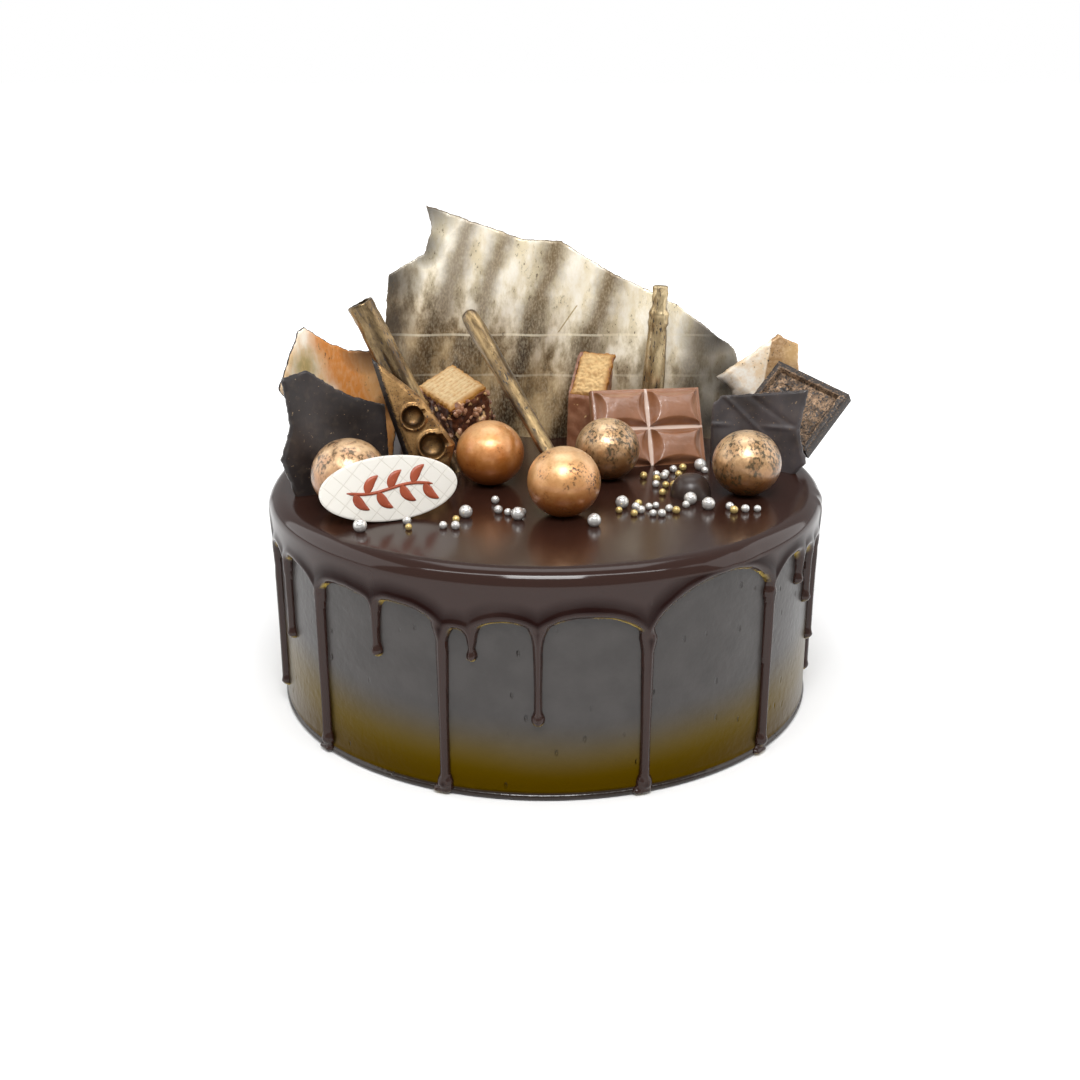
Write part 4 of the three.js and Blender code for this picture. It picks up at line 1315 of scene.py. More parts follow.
        # Mask of the darker roll above the edge, partly glaze depth and partly painted shade.
        lip = np.interp(table[:, 2], [1.7, 2.6, 4.2, 7.5], [0, 1, 0.85, 0])
        column = np.round((table[:, 0] - angles[0]) / 360 * self.columns).astype(int) % self.columns
        row = np.clip(np.round((table[:, 1] - levels[0]) / self.row).astype(int), 0, len(levels) - 1)
        # Mask for the painted gold reflection line, where the edge hangs over.
        hanging = np.interp(np.gradient(away, levels, axis=0)[row, column], [0.3, 0.75], [0, 1])
        edge = np.clip(1.3 - table[:, 2] / 0.7, 0, 1) * hanging
        cap, cap_faces = self.cap(angles, body[top_row], len(body))
        faces_out = faces + self.stitch(top_row, len(body)) + cap_faces
        lining, lining_faces = self.lining(body, table[:, 2] > 0, faces, top_row, len(body) + len(cap))
        flat = np.zeros(len(cap) + len(lining))
        piece = make_object(
            "glaze_skin", np.concatenate([body, cap, lining]), faces_out + lining_faces,
            Finishes.glaze.material(), None,
            {"lip": np.concatenate([lip, flat]), "edge": np.concatenate([edge, flat])}, 180.0,
        )
        settle(piece, "glaze", "glaze")

    def lining(
        self, body: np.ndarray, within: np.ndarray, faces: Faces, top_row: np.ndarray, first: int
    ) -> tuple[np.ndarray, Faces]:
        """The inner side of the glaze, hidden in the cake, which closes it.

        Args:
            body: The skin's points on the side.
            within: Which of them are not on the glaze's edge.
            faces: The skin's faces on the side.
            top_row: The indices of its top row.
            first: The index that the lining's first point gets.

        Returns:
            The points and the faces.
        """
        inner = body[within].copy()
        inner[:, :2] *= ((CAKE_RADIUS - self.sunk) / np.hypot(inner[:, 0], inner[:, 1]))[:, None]
        index = np.arange(len(body))
        index[within] = first + np.arange(len(inner))
        turned = [tuple(int(index[i]) for i in face[::-1]) for face in faces]
        upper = inner[index[top_row] - first].copy()
        upper[:, 2] = CAKE_HEIGHT - self.sunk
        ring = first + len(inner) + np.arange(len(upper))
        middle = first + len(inner) + len(upper)
        after, ring_after = np.roll(index[top_row], -1), np.roll(ring, -1)
        turned += [tuple(face) for face in np.stack([index[top_row], ring, ring_after, after], -1).tolist()]
        turned += [(int(a), middle, int(b)) for a, b in zip(ring, ring_after)]
        return np.concatenate([inner, upper, [[0, 0, CAKE_HEIGHT - self.sunk]]]), turned

    def stitch(self, row: np.ndarray, first: int) -> Faces:
        """Faces from the side's top row to the cap's first ring."""
        after = np.roll(row, -1)
        ring = first + np.arange(self.columns)
        following = np.roll(ring, -1)
        return [tuple(face) for face in np.stack([row, after, following, ring], -1).tolist()]

    def cap(self, angles: np.ndarray, shoulder: np.ndarray, first: int) -> tuple[np.ndarray, Faces]:
        """The rounded rim and the flat top.

        Args:
            angles: Each column's angle, in degrees.
            shoulder: The side's top row.
            first: The index of the cap's first point.

        Returns:
            The points and the faces.
        """
        turn = np.radians(angles)
        bend = np.radians(np.linspace(0, 90, 15)[1:])
        profile = [
            (GLAZE_OUTER - GLAZE_RIM_ROUND * (1 - math.cos(b)), GLAZE_TOP - GLAZE_RIM_ROUND * (1 - math.sin(b)))
            for b in bend
        ]
        profile += [(r, GLAZE_TOP) for r in (84.5, 80, 70, 55, 40, 25, 10)]
        rings = np.stack([
            np.stack([r * np.sin(turn), -r * np.cos(turn), np.full_like(turn, z)], -1) for r, z in profile
        ])
        side_reach = np.hypot(shoulder[:, 0], shoulder[:, 1]) - GLAZE_OUTER
        for k, share in enumerate(np.cos(bend)):
            grown = 1 + side_reach * share**2 / GLAZE_OUTER
            rings[k, :, :2] *= grown[:, None]
        flat = rings[len(bend):]
        flat[..., 2] += 0.05 * lumps(flat, 24, 8)
        points = np.concatenate([rings.reshape(-1, 3), [[0, 0, GLAZE_TOP]]])
        faces = ring_faces(len(rings), self.columns, first)
        last = first + (len(rings) - 1) * self.columns
        tip = first + len(points) - 1
        for i in range(self.columns):
            faces.append((last + i, last + (i + 1) % self.columns, tip))
        return points, faces


@dataclass
class Coat:
    """The coated body of the cake, with a thin roll of coat where it meets what it stands on."""

    columns: int = 360
    foot: float = 1.1
    foot_height: float = 1.5
    rim: float = 3.6
    waviness: float = 0.1

    def profile(self) -> np.ndarray:
        """The side's outline as (radius, height), from the base to the top, in mm."""
        roll = np.radians(np.linspace(-90, 60, 12))
        points = [
            (CAKE_RADIUS - 0.6 + self.foot * math.cos(b), self.foot_height * (1 + math.sin(b)) * 0.72)
            for b in roll
        ]
        points += [(CAKE_RADIUS, z) for z in np.linspace(4.2, CAKE_HEIGHT - self.rim, 60)]
        bend = np.radians(np.linspace(0, 90, 8)[1:])
        points += [
            (CAKE_RADIUS - self.rim * (1 - math.cos(b)), CAKE_HEIGHT - self.rim * (1 - math.sin(b)))
            for b in bend
        ]
        return np.array(points)

    def build(self) -> None:
        """Builds, dresses and settles the coat."""
        turn = np.radians(360 * np.arange(self.columns) / self.columns)
        profile = self.profile()
        rings = np.stack([np.stack([r * np.sin(turn), -r * np.cos(turn), np.full_like(turn, z)], -1)
                          for r, z in profile])
        free = np.clip((profile[:, 1] - 3) / 5, 0, 1)[:, None]
        wave = self.waviness * (lumps(rings, 26, 4) + 0.5 * lumps(rings, 9, 5)) - self.waviness
        rings[..., :2] *= (1 + free * wave / CAKE_RADIUS)[..., None]
        rings[..., 2] = np.maximum(rings[..., 2], 0)
        points, faces = closed_rings(rings, (0, 0, 0), (0, 0, CAKE_HEIGHT))
        piece = make_object("cake_coat", points, faces, Finishes.coat.material(), sharp=60.0)
        settle(piece, "coat", "cake")


def bake_modifiers(piece: bpy.types.Object) -> None:
    """Turns an object with a node tree into a plain mesh.

    Args:
        piece: The object.
    """
    seen = piece.evaluated_get(bpy.context.evaluated_depsgraph_get())
    plain = bpy.data.meshes.new_from_object(seen)
    spare = piece.data
    piece.modifiers.clear()
    piece.data = plain
    plain.name = piece.name
    bpy.data.meshes.remove(spare)


def run_tree(
    piece: bpy.types.Object,
    tree: bpy.types.NodeTree,
    values: dict[str, Any],
) -> None:
    """Runs a node tree on an object and keeps its result as a plain mesh.

    Args:
        piece: The object.
        tree: The tree.
        values: A value for each named input.
    """
    modifier = piece.modifiers.new(tree.name, "NODES")
    modifier.node_group = tree
    for socket in tree.interface.items_tree:
        if socket.item_type == "SOCKET" and socket.in_out == "INPUT" and socket.name in values:
            modifier[socket.identifier] = values[socket.name]
    bake_modifiers(piece)


def new_tree(name: str, inputs: dict[str, str]) -> tuple[bpy.types.NodeTree, bpy.types.Node, bpy.types.Node]:
    """Starts a geometry node tree.

    Args:
        name: The tree's name.
        inputs: The type of each named input after the geometry.

    Returns:
        The tree, its input node and its output node.
    """
    tree = bpy.data.node_groups.new(name, "GeometryNodeTree")
    tree.interface.new_socket("Geometry", in_out="INPUT", socket_type="NodeSocketGeometry")
    for key, kind in inputs.items():
        tree.interface.new_socket(key, in_out="INPUT", socket_type=kind)
    tree.interface.new_socket("Geometry", in_out="OUTPUT", socket_type="NodeSocketGeometry")
    return tree, tree.nodes.new("NodeGroupInput"), tree.nodes.new("NodeGroupOutput")


@dataclass(frozen=True)
class Ball:
    """One dusted ball: its node, its centre on the top and its radius, in mm, and its dust."""

    name: str
    x: float
    y: float
    radius: float
    dust: BallDust


@dataclass
class Balls:
    """The dusted balls, each a slightly lumpy sphere that a node tree makes."""

    balls: tuple[Ball, ...] = (
        Ball("ball_left", -60.9, -35.8, 11.7, BallDust.SPECKLED_COPPER),
        Ball("ball_centre_left", -18.1, -10.4, 11.1, BallDust.SMOOTH_COPPER),
        Ball("ball_front", 5.5, -42.0, 11.3, BallDust.SMOOTH_BRONZE),
        Ball("ball_centre_right", 20.5, -4.5, 10.7, BallDust.RUBBED_GOLD),
        Ball("ball_right", 64.2, -21.4, 11.0, BallDust.RUBBED_GOLD),
    )
    squash: float = 0.96
    lump: float = 0.28
    lump_size: float = 8.0

    def tree(self, material: bpy.types.Material) -> bpy.types.NodeTree:
        """The tree that makes one ball.

        Args:
            material: The ball's material.

        Returns:
            The tree.
        """
        tree, given, made = new_tree(
            "dusted ball",
            {"Radius": "NodeSocketFloat", "Squash": "NodeSocketVector", "Centre": "NodeSocketVector",
             "Lump": "NodeSocketFloat", "Lump size": "NodeSocketFloat", "Seed": "NodeSocketFloat"},
        )
        sphere = add_node(tree, Kind.UV_SPHERE, {"Segments": 96, "Rings": 64, "Radius": given.outputs["Radius"]})
        place = add_node(tree, Kind.POSITION)
        kept = add_node(
            tree, Kind.STORE, {"Geometry": sphere, "Name": "local", "Value": place},
            data_type="FLOAT_VECTOR", domain="POINT",
        )
        rough = add_node(
            tree, Kind.NOISE,
            {"Vector": place, "W": given.outputs["Seed"], "Scale": given.outputs["Lump size"], "Detail": 1.0},
            noise_dimensions="4D",
        )
        centred = add_node(tree, Kind.MATH, {0: rough, 1: 0.5}, operation="SUBTRACT")
        height = add_node(tree, Kind.MATH, {0: centred, 1: given.outputs["Lump"]}, operation="MULTIPLY")
        normal = add_node(tree, Kind.NORMAL)
        offset = add_node(tree, Kind.VECTOR, {0: normal, "Scale": height}, operation="SCALE")
        moved = add_node(tree, Kind.SET_POSITION, {"Geometry": kept, "Offset": offset})
        placed = add_node(
            tree, Kind.TRANSFORM,
            {"Geometry": moved, "Translation": given.outputs["Centre"], "Scale": given.outputs["Squash"]},
        )
        smooth = add_node(tree, Kind.SMOOTH, {"Geometry": placed})
        plain = add_node(tree, Kind.REALIZE, {"Geometry": smooth})
        final = add_node(tree, Kind.SET_MATERIAL, {"Geometry": plain, "Material": material})
        tree.links.new(final, made.inputs[0])
        return tree

    def build(self) -> None:
        """Builds, dresses and settles each ball."""
        made = {dust: dust.value.material() for dust in BallDust}
        for i, ball in enumerate(self.balls):
            mesh = bpy.data.meshes.new(ball.name)
            piece = bpy.data.objects.new("dusted_" + ball.name, mesh)
            bpy.context.scene.collection.objects.link(piece)
            centre = (ball.x * MM, ball.y * MM, (SEAT + ball.radius * self.squash - 0.6) * MM)
            run_tree(piece, self.tree(made[ball.dust]), {
                "Radius": ball.radius * MM, "Squash": (1.0, 1.0, self.squash), "Centre": centre,
                "Lump": self.lump * MM, "Lump size": per(self.lump_size), "Seed": 3.7 * i,
            })
            settle(piece, "dust", ball.name)


@dataclass
class Pearls:
    """Sugar pearls on the glaze: the large ones by place, the small ones drawn in clusters by the
    rule that the solid follows."""

    large: tuple[tuple[float, float], ...] = (
        (52.5, 5), (45.5, -31.6), (50.6, -36.8), (23.8, -35.3),
        (14.5, -52.5), (-8.5, -46.5), (-24.5, -44.5), (-55.3, -57.4),
    )
    clusters: tuple[tuple[float, float, float, float, int], ...] = (
        (38.5, -12, 6, 11, 11), (48, 3.5, 7, 2, 3), (36, -38, 9, 6, 8), (26, -38, 4, 6, 4),
        (-15, -35, 9, 10, 4), (-36, -53, 14, 6, 5), (63, -38, 7, 3, 4),
    )
    large_radius: float = 2.1
    small_radius: float = 1.2
    sink: float = 0.3
    seed: int = 11
    clearance: float = 0.6
    tries: int = 400
    gold_share: float = 0.4

    @staticmethod
    def from_foot(x: float, y: float, at: tuple[float, float, float]) -> tuple[float, float]:
        """How far across and behind a leaning piece's foot line a point lies."""
        turn = math.radians(at[2])
        dx, dy = x - at[0], y - at[1]
        return dx * math.cos(turn) + dy * math.sin(turn), dy * math.cos(turn) - dx * math.sin(turn)

    def occupied(self, x: float, y: float, radius: float) -> bool:
        """Whether a pearl there would touch a larger topping.

        Args:
            x: Its place across.
            y: Its place away from the front.
            radius: Its radius.

        Returns:
            True where it would.
        """
        clear = radius + self.clearance
        for ball in Balls().balls:
            rise = ball.radius * 0.96 - radius
            if math.hypot(x - ball.x, y - ball.y) < math.sqrt(ball.radius**2 - rise**2) + clear:
                return True
        if math.hypot(x - 46.5, y + 22.5) < 6.6 + clear or math.hypot(x - 7.1, y + 29.7) < 6:
            return True
        across, behind = self.from_foot(x, y, (-47.8, -50.2, 22))
        if abs(across) < 43 / 2 and behind > -clear:
            return True
        across, behind = self.from_foot(x, y, (37.3, 6.9, 12))
        return abs(across) < 38.7 and behind > -clear

    def places(self) -> list[tuple[float, float, float]]:
        """Every pearl as (across, away, radius) in mm."""
        random = Seeded(self.seed)
        found = [(x, y, self.large_radius) for x, y in self.large]
        for x0, y0, spread_x, spread_y, count in self.clusters:
            made = 0
            for _ in range(self.tries):
                if made == count:
                    break
                radius = self.small_radius * random.draw(0.9, 1.15)
                x = x0 + spread_x * random.draw(-1, 1)
                y = y0 + spread_y * random.draw(-1, 1)
                touching = any(math.hypot(x - a, y - b) < radius + r + 0.1 for a, b, r in found)
                if touching or self.occupied(x, y, radius):
                    continue
                found.append((x, y, radius))
                made += 1
        return found

    def tree(self, material: bpy.types.Material) -> bpy.types.NodeTree:
        """The tree that sets a pearl on each point.

        Args:
            material: The pearls' material.

        Returns:
            The tree.
        """
        tree, given, made = new_tree("pearls", {"Segments": "NodeSocketInt", "Rings": "NodeSocketInt"})
        pearl = add_node(
            tree, Kind.UV_SPHERE,
            {"Segments": given.outputs["Segments"], "Rings": given.outputs["Rings"], "Radius": 1.0},
        )
        radius = add_node(tree, Kind.NAMED, {"Name": "radius"}, data_type="FLOAT")
        set_out = add_node(
            tree, Kind.INSTANCE, {"Points": given.outputs["Geometry"], "Instance": pearl, "Scale": radius}
        )
        plain = add_node(tree, Kind.REALIZE, {"Geometry": set_out})
        smooth = add_node(tree, Kind.SMOOTH, {"Geometry": plain})
        final = add_node(tree, Kind.SET_MATERIAL, {"Geometry": smooth, "Material": material})
        tree.links.new(final, made.inputs[0])
        return tree

    def build(self) -> None:
        """Builds, dresses and settles the pearls."""
        found = self.places()
        tint = Seeded(23)
        points = np.array([(x, y, GLAZE_TOP + r - self.sink) for x, y, r in found])
        gold = np.array([1.0 if r < 2 and tint.draw() < self.gold_share else 0.0 for _, _, r in found])
        radii = np.array([r for _, _, r in found])
        material = Finishes.pearl.material()
        piece = make_object(
            "sugar_pearls", points, [], material, None, {"radius": radii * MM, "gold": gold}
        )
        run_tree(piece, self.tree(material), {"Segments": 24, "Rings": 14})
        settle(piece, "sugar", "glaze")


@dataclass(frozen=True)
class Stick:
    """One rolled stick: its axis from foot to top, and its radius at distances below its top."""

    name: str
    foot: tuple[float, float, float]
    top: tuple[float, float, float]
    profile: Line
    hollow: float = 0.0
    knots: float = 0.0
    # How much painted shade darkens one flank of the stick.
    painted_side_shade: float = 0.8


@dataclass
class Sticks:
    """The rolled sticks, each wound from one thin sheet whose edge shows as a fine step."""

    sticks: tuple[Stick, ...] = (
        Stick("stick_left", (-32.4, 5, 71), (-60.4, 5, 129.4),
              [(0, 4.15), (0.5, 4.4), (8, 4.3), (14, 4.45), (65, 4.4)], hollow=0.72, knots=0.25),
        Stick("stick_centre", (7.1, -29.7, 77.6), (-26.1, 20, 123.6),
              [(0, 1.2), (0.4, 1.9), (1.2, 2.6), (2.6, 3.05), (10, 3.1), (75, 2.2)]),
        Stick("stick_right", (37, 35, 71), (40.2, 38, 129.5),
              [(0, 2.2), (0.5, 2.75), (5, 2.65), (8, 2.8), (9.6, 3.6), (11.4, 3.4), (13, 3.7),
               (15, 3.3), (30, 3.9), (60, 4.1)], knots=0.45, painted_side_shade=0.0),
    )
    sides: int = 48
    step: float = 0.28

    def build(self) -> None:
        """Builds, dresses and settles each stick."""
        material, pale = Finishes.stick.material(), Finishes.lit_stick.material()
        for seed, stick in enumerate(self.sticks):
            axis = Vector(stick.top) - Vector(stick.foot)
            reach = axis.length
            near = np.concatenate([[0, 0.25, 0.5, 0.9], np.linspace(1.4, reach, 90)])[::-1]
            turn = np.linspace(0, math.tau, self.sides, endpoint=False)
            size = np.interp(near, *np.array(stick.profile).T)
            wound = self.step * ((turn[None] / math.tau + near[:, None] / 160) % 1) - self.step / 2
            radius = size[:, None] + wound
            own = np.stack([
                radius * np.cos(turn), radius * np.sin(turn), np.broadcast_to(reach - near[:, None], radius.shape)
            ], -1)
            rough = 0.1 * lumps(own, 4, seed + 30) + stick.knots * lumps(own, 2.2, seed + 40) * (near < 15)[:, None]
            own[..., :2] *= (1 + rough / size[:, None])[..., None]
            end = np.array([0, 0, reach])
            if stick.hollow:
                own[-1, :, 2] += 0.35 * lumps(own[-1], 1.6, seed)
                inner = np.stack([own[-1] * [stick.hollow, stick.hollow, 1]] * 2)
                inner[1, :, 2] -= 4
                own = np.concatenate([own, inner])
                end = np.array([0, 0, reach - 4])
            points, faces = closed_rings(own, (0, 0, 0), end)
            turned = np.array(axis.to_track_quat("Z", "Y").to_matrix())
            placed = points @ turned.T + np.array(stick.foot)
            if stick.name != "stick_centre":
                placed = seated(placed)
            # Painted shade along both flanks of each stick.
            left = np.clip(-points[:, 0] / np.interp(reach - points[:, 2], *np.array(stick.profile).T), -1, 1)
            sides = np.interp(left, [-0.95, -0.6, 0.2, 0.95], [0.45, 0, 0, stick.painted_side_shade])
            values = {"painted_shade": sides}
            # The right stick wears the lighter copy: painted light.
            worn = pale if stick.name == "stick_right" else material
            piece = make_object("dusted_" + stick.name, placed, faces, worn, points, values, 60.0)
            settle(piece, "gold", stick.name)


@dataclass
class CupBar:
    """The broken moulded bar with two round cups in its face."""

    place: Place = Place(-36, -14.5, 73, 5, 6)
    outline: Outline = Outline(
        left=[(-6.5, -1), (-15.3, 27.4), (-19.2, 41.5)],
        top=[(-19.2, 41.5), (-18.8, 41.2)],
        right=[(3, -1), (6.8, 13.5), (-4.1, 29.1), (-18.8, 41.2)],
        bottom=[(-6.5, -1), (3, -1)],
    )
    cups: tuple[tuple[float, float, float], ...] = ((-6.5, 22.9, 3.5), (-0.6, 13.5, 4.0))
    depth: float = 5.4
    cup_depth: float = 3.2
    rim: float = 0.8
    broken: float = 2.2

    def build(self) -> None:
        """Builds, dresses and settles the bar."""
        width, height = self.outline.spans()
        u, v = crowded(80, width), crowded(150, height)
        grid = self.outline.patch(u, v)
        across = (u[None, :] * np.hypot(*(grid[:, -1] - grid[:, 0]).T)[:, None])
        front = np.interp(across, [0, self.broken], [self.broken * 1.3, 0])
        front += 0.25 * lumps(grid, 1.4, 51) * np.clip(1 - across / 3, 0, 1)
        from_right = (1 - u)[None] * np.hypot(*(grid[:, -1] - grid[:, 0]).T)[:, None]
        front += np.interp(from_right, [0, 1.2], [1.2, 0])
        bare = np.clip(1.3 - across / self.broken, 0, 1)
        # Painted shade in the cups' wells.
        painted_shade = np.zeros_like(front)
        for x, z, radius in self.cups:
            away = np.hypot(grid[..., 0] - x, grid[..., 1] - z)
            well = self.cup_depth * np.sqrt(np.clip(1 - (away / radius) ** 2, 0, 1)) ** 0.7
            ridge = self.rim * np.exp(-(((away - radius - 0.5) / 0.55) ** 2))
            front = front + well - ridge
            painted_shade = np.maximum(painted_shade, np.interp(away / radius, [0.35, 0.7, 0.95, 1.1], [0.35, 0.8, 0.7, 0]))
        points, faces = slab(grid, front, np.full_like(front, self.depth))
        values = {"bare": np.tile(bare.ravel(), 2), "painted_shade": np.tile(painted_shade.ravel(), 2)}
        placed = seated(self.place.put(points))
        piece = make_object("dusted_cup_bar", placed, faces, Finishes.cup_bar.material(), points, values)
        settle(piece, "gold", "cup_bar")


def rounded_rectangle(width: float, height: float, radius: float, count: int) -> np.ndarray:
    """A rectangle with rounded corners round its own centre.

    Args:
        width: Its width in mm.
        height: Its height in mm.
        radius: Its corners' radius in mm.
        count: How many points it gets, evenly by its length.

    Returns:
        The points counterclockwise.
    """
    corners = []
    for k, (i, j) in enumerate([(1, -1), (1, 1), (-1, 1), (-1, -1)]):
        for bend in np.radians(np.linspace(-90, 0, 6) + 90 * k):
            x = i * (width / 2 - radius) + radius * math.cos(bend)
            corners.append((x, j * (height / 2 - radius) + radius * math.sin(bend)))
    corners.append(corners[0])
    return along(corners, np.arange(count) / count)


@dataclass
class LeftWafer:
    """The layered wafer in a lumpy nut coat, held up at a tilt."""

    place: Place = Place(-32, 15.5, 99.2, -20.5, 62.2, -58.9)
    width: float = 12.6
    height: float = 16.0
    length: float = 26.0
    coat: float = 1.7
    spread: float = 1.35

    def core(self) -> None:
        """Builds the wafer's cut end, which has shed the coat's edge, and what is behind it."""
        half_width, half_height = self.width / 2 + self.spread, self.height / 2 + self.spread
        u, v = np.linspace(-1, 1, 90), np.linspace(-1, 1, 110)
        grid = np.stack(np.meshgrid(u * half_width, v * half_height), -1)
        inset = np.minimum(half_width - np.abs(grid[..., 0]), half_height - np.abs(grid[..., 1]))
        loose = np.clip(1 - inset / 2, 0, 1)[..., None] * 0.5
        grid = grid + loose * np.stack([lumps(grid, 1.5, 63 + k) for k in (0, 1)], -1)
        layers = 0.1 * np.sin(math.tau * (grid[..., 1] + 0.5 * lumps(grid, 5, 66)) / 1.9)
        front = layers + 0.35 * lumps(grid, 1.3, 61) + np.interp(inset, [0, 0.7], [0.7, 0]) - 0.25
        points, faces = slab(grid, front, np.full_like(front, 2.6))
        edge = np.clip(1 - inset / 2.2, 0, 1).ravel()
        piece = make_object(
            "wafer_left_crumb", self.place.put(points), faces, Finishes.wafer_left.material(), points,
            {"edge": np.tile(edge, 2)},
        )
        settle(piece, "wafer", "wafer_left_core")

    def shell(self) -> bpy.types.Object:
        """Builds the coat round the wafer.

        Returns:
            The coat.
        """
        outer = rounded_rectangle(self.width + 2 * self.coat, self.height + 2 * self.coat, 1.6, 120)
        inner = rounded_rectangle(self.width + 0.2, self.height + 0.2, 0.4, 120)
        rings = [np.column_stack([outer[:, 0], np.full(120, y), outer[:, 1]])
                 for y in np.linspace(self.length, 1.5, 60)]
        rings += [np.column_stack([inner[:, 0], np.full(120, y), inner[:, 1]]) for y in (1.3, 2.4)]
        body = np.array(rings)
        body[:60] += 0.6 * np.stack([lumps(body[:60], 2.4, 70 + k) for k in range(3)], -1)
        body[:60] += 0.25 * np.stack([lumps(body[:60], 1.0, 73 + k) for k in range(3)], -1)
        points, faces = closed_rings(body, (0, self.length, 0), (0, 2.4, 0))
        return make_object(
            "wafer_left_shell", seated(self.place.put(points)), faces, Finishes.nut_coat.material(), points,
            sharp=60.0,
        )

    def build(self) -> None:
        """Builds, dresses and settles the wafer."""
        self.core()
        shell = self.shell()
        nuts = ChoppedNuts().build(shell)
        settle(shell, "nut_coat", "wafer_left_coat")
        settle(nuts, "nut_coat", "wafer_left_coat")


@dataclass
class ChoppedNuts:
    """Chopped nuts half sunk in a coat, scattered by a node tree."""

    density: float = 70000.0
    size: tuple[float, float] = (0.7, 1.7)
    seed: int = 16

    def build(self, coat: bpy.types.Object) -> bpy.types.Object:
        """Scatters the nuts over a coat.

        Args:
            coat: The coat's object.

        Returns:
            The nuts as one object.
        """
        material = NutCoat("chopped nuts", roughness=0.3, body="7a4f38", high="b88a68",
                           nut_share=(0.56, 0.66)).material()
        tree, given, made = new_tree(
            "chopped nuts",
            {"Density": "NodeSocketFloat", "Least": "NodeSocketFloat", "Most": "NodeSocketFloat",
             "Seed": "NodeSocketInt"},
        )
        points = add_node(
            tree, Kind.DISTRIBUTE,
            {"Mesh": given.outputs["Geometry"], "Density": given.outputs["Density"],
             "Seed": given.outputs["Seed"]},
        )
        nut = add_node(tree, Kind.ICO_SPHERE, {"Radius": 1.0, "Subdivisions": 2})
        turn = add_node(
            tree, Kind.RANDOM, {0: (0.0, 0.0, 0.0), 1: (math.tau, math.tau, math.tau), "Seed": 4},
            data_type="FLOAT_VECTOR",
        )
        size = add_node(
            tree, Kind.RANDOM,
            {2: given.outputs["Least"], 3: given.outputs["Most"], "Seed": given.outputs["Seed"]}, 1,
            data_type="FLOAT",
        )
        squat = add_node(
            tree, Kind.RANDOM, {0: (0.7, 0.5, 0.6), 1: (1.3, 1.0, 1.1), "Seed": 9}, data_type="FLOAT_VECTOR"
        )
        scale = add_node(tree, Kind.VECTOR, {0: squat, "Scale": size}, operation="SCALE")
        scattered = add_node(
            tree, Kind.INSTANCE, {"Points": points, "Instance": nut, "Rotation": turn, "Scale": scale}
        )
        plain = add_node(tree, Kind.REALIZE, {"Geometry": scattered})
        rough = add_node(tree, Kind.NOISE, {"Scale": per(1.1), "Detail": 1.0}, "Color")
        centred = add_node(tree, Kind.VECTOR, {0: rough, 1: (0.5, 0.5, 0.5)}, operation="SUBTRACT")
        shifted = add_node(tree, Kind.VECTOR, {0: centred, "Scale": 0.0009}, operation="SCALE")
        chopped = add_node(tree, Kind.SET_POSITION, {"Geometry": plain, "Offset": shifted})
        final = add_node(tree, Kind.SET_MATERIAL, {"Geometry": chopped, "Material": material})
        tree.links.new(final, made.inputs[0])
        piece = bpy.data.objects.new("wafer_left_nuts", coat.data.copy())
        bpy.context.scene.collection.objects.link(piece)
        run_tree(piece, tree, {
            "Density": self.density, "Least": self.size[0] * MM, "Most": self.size[1] * MM, "Seed": self.seed,
        })
        return piece


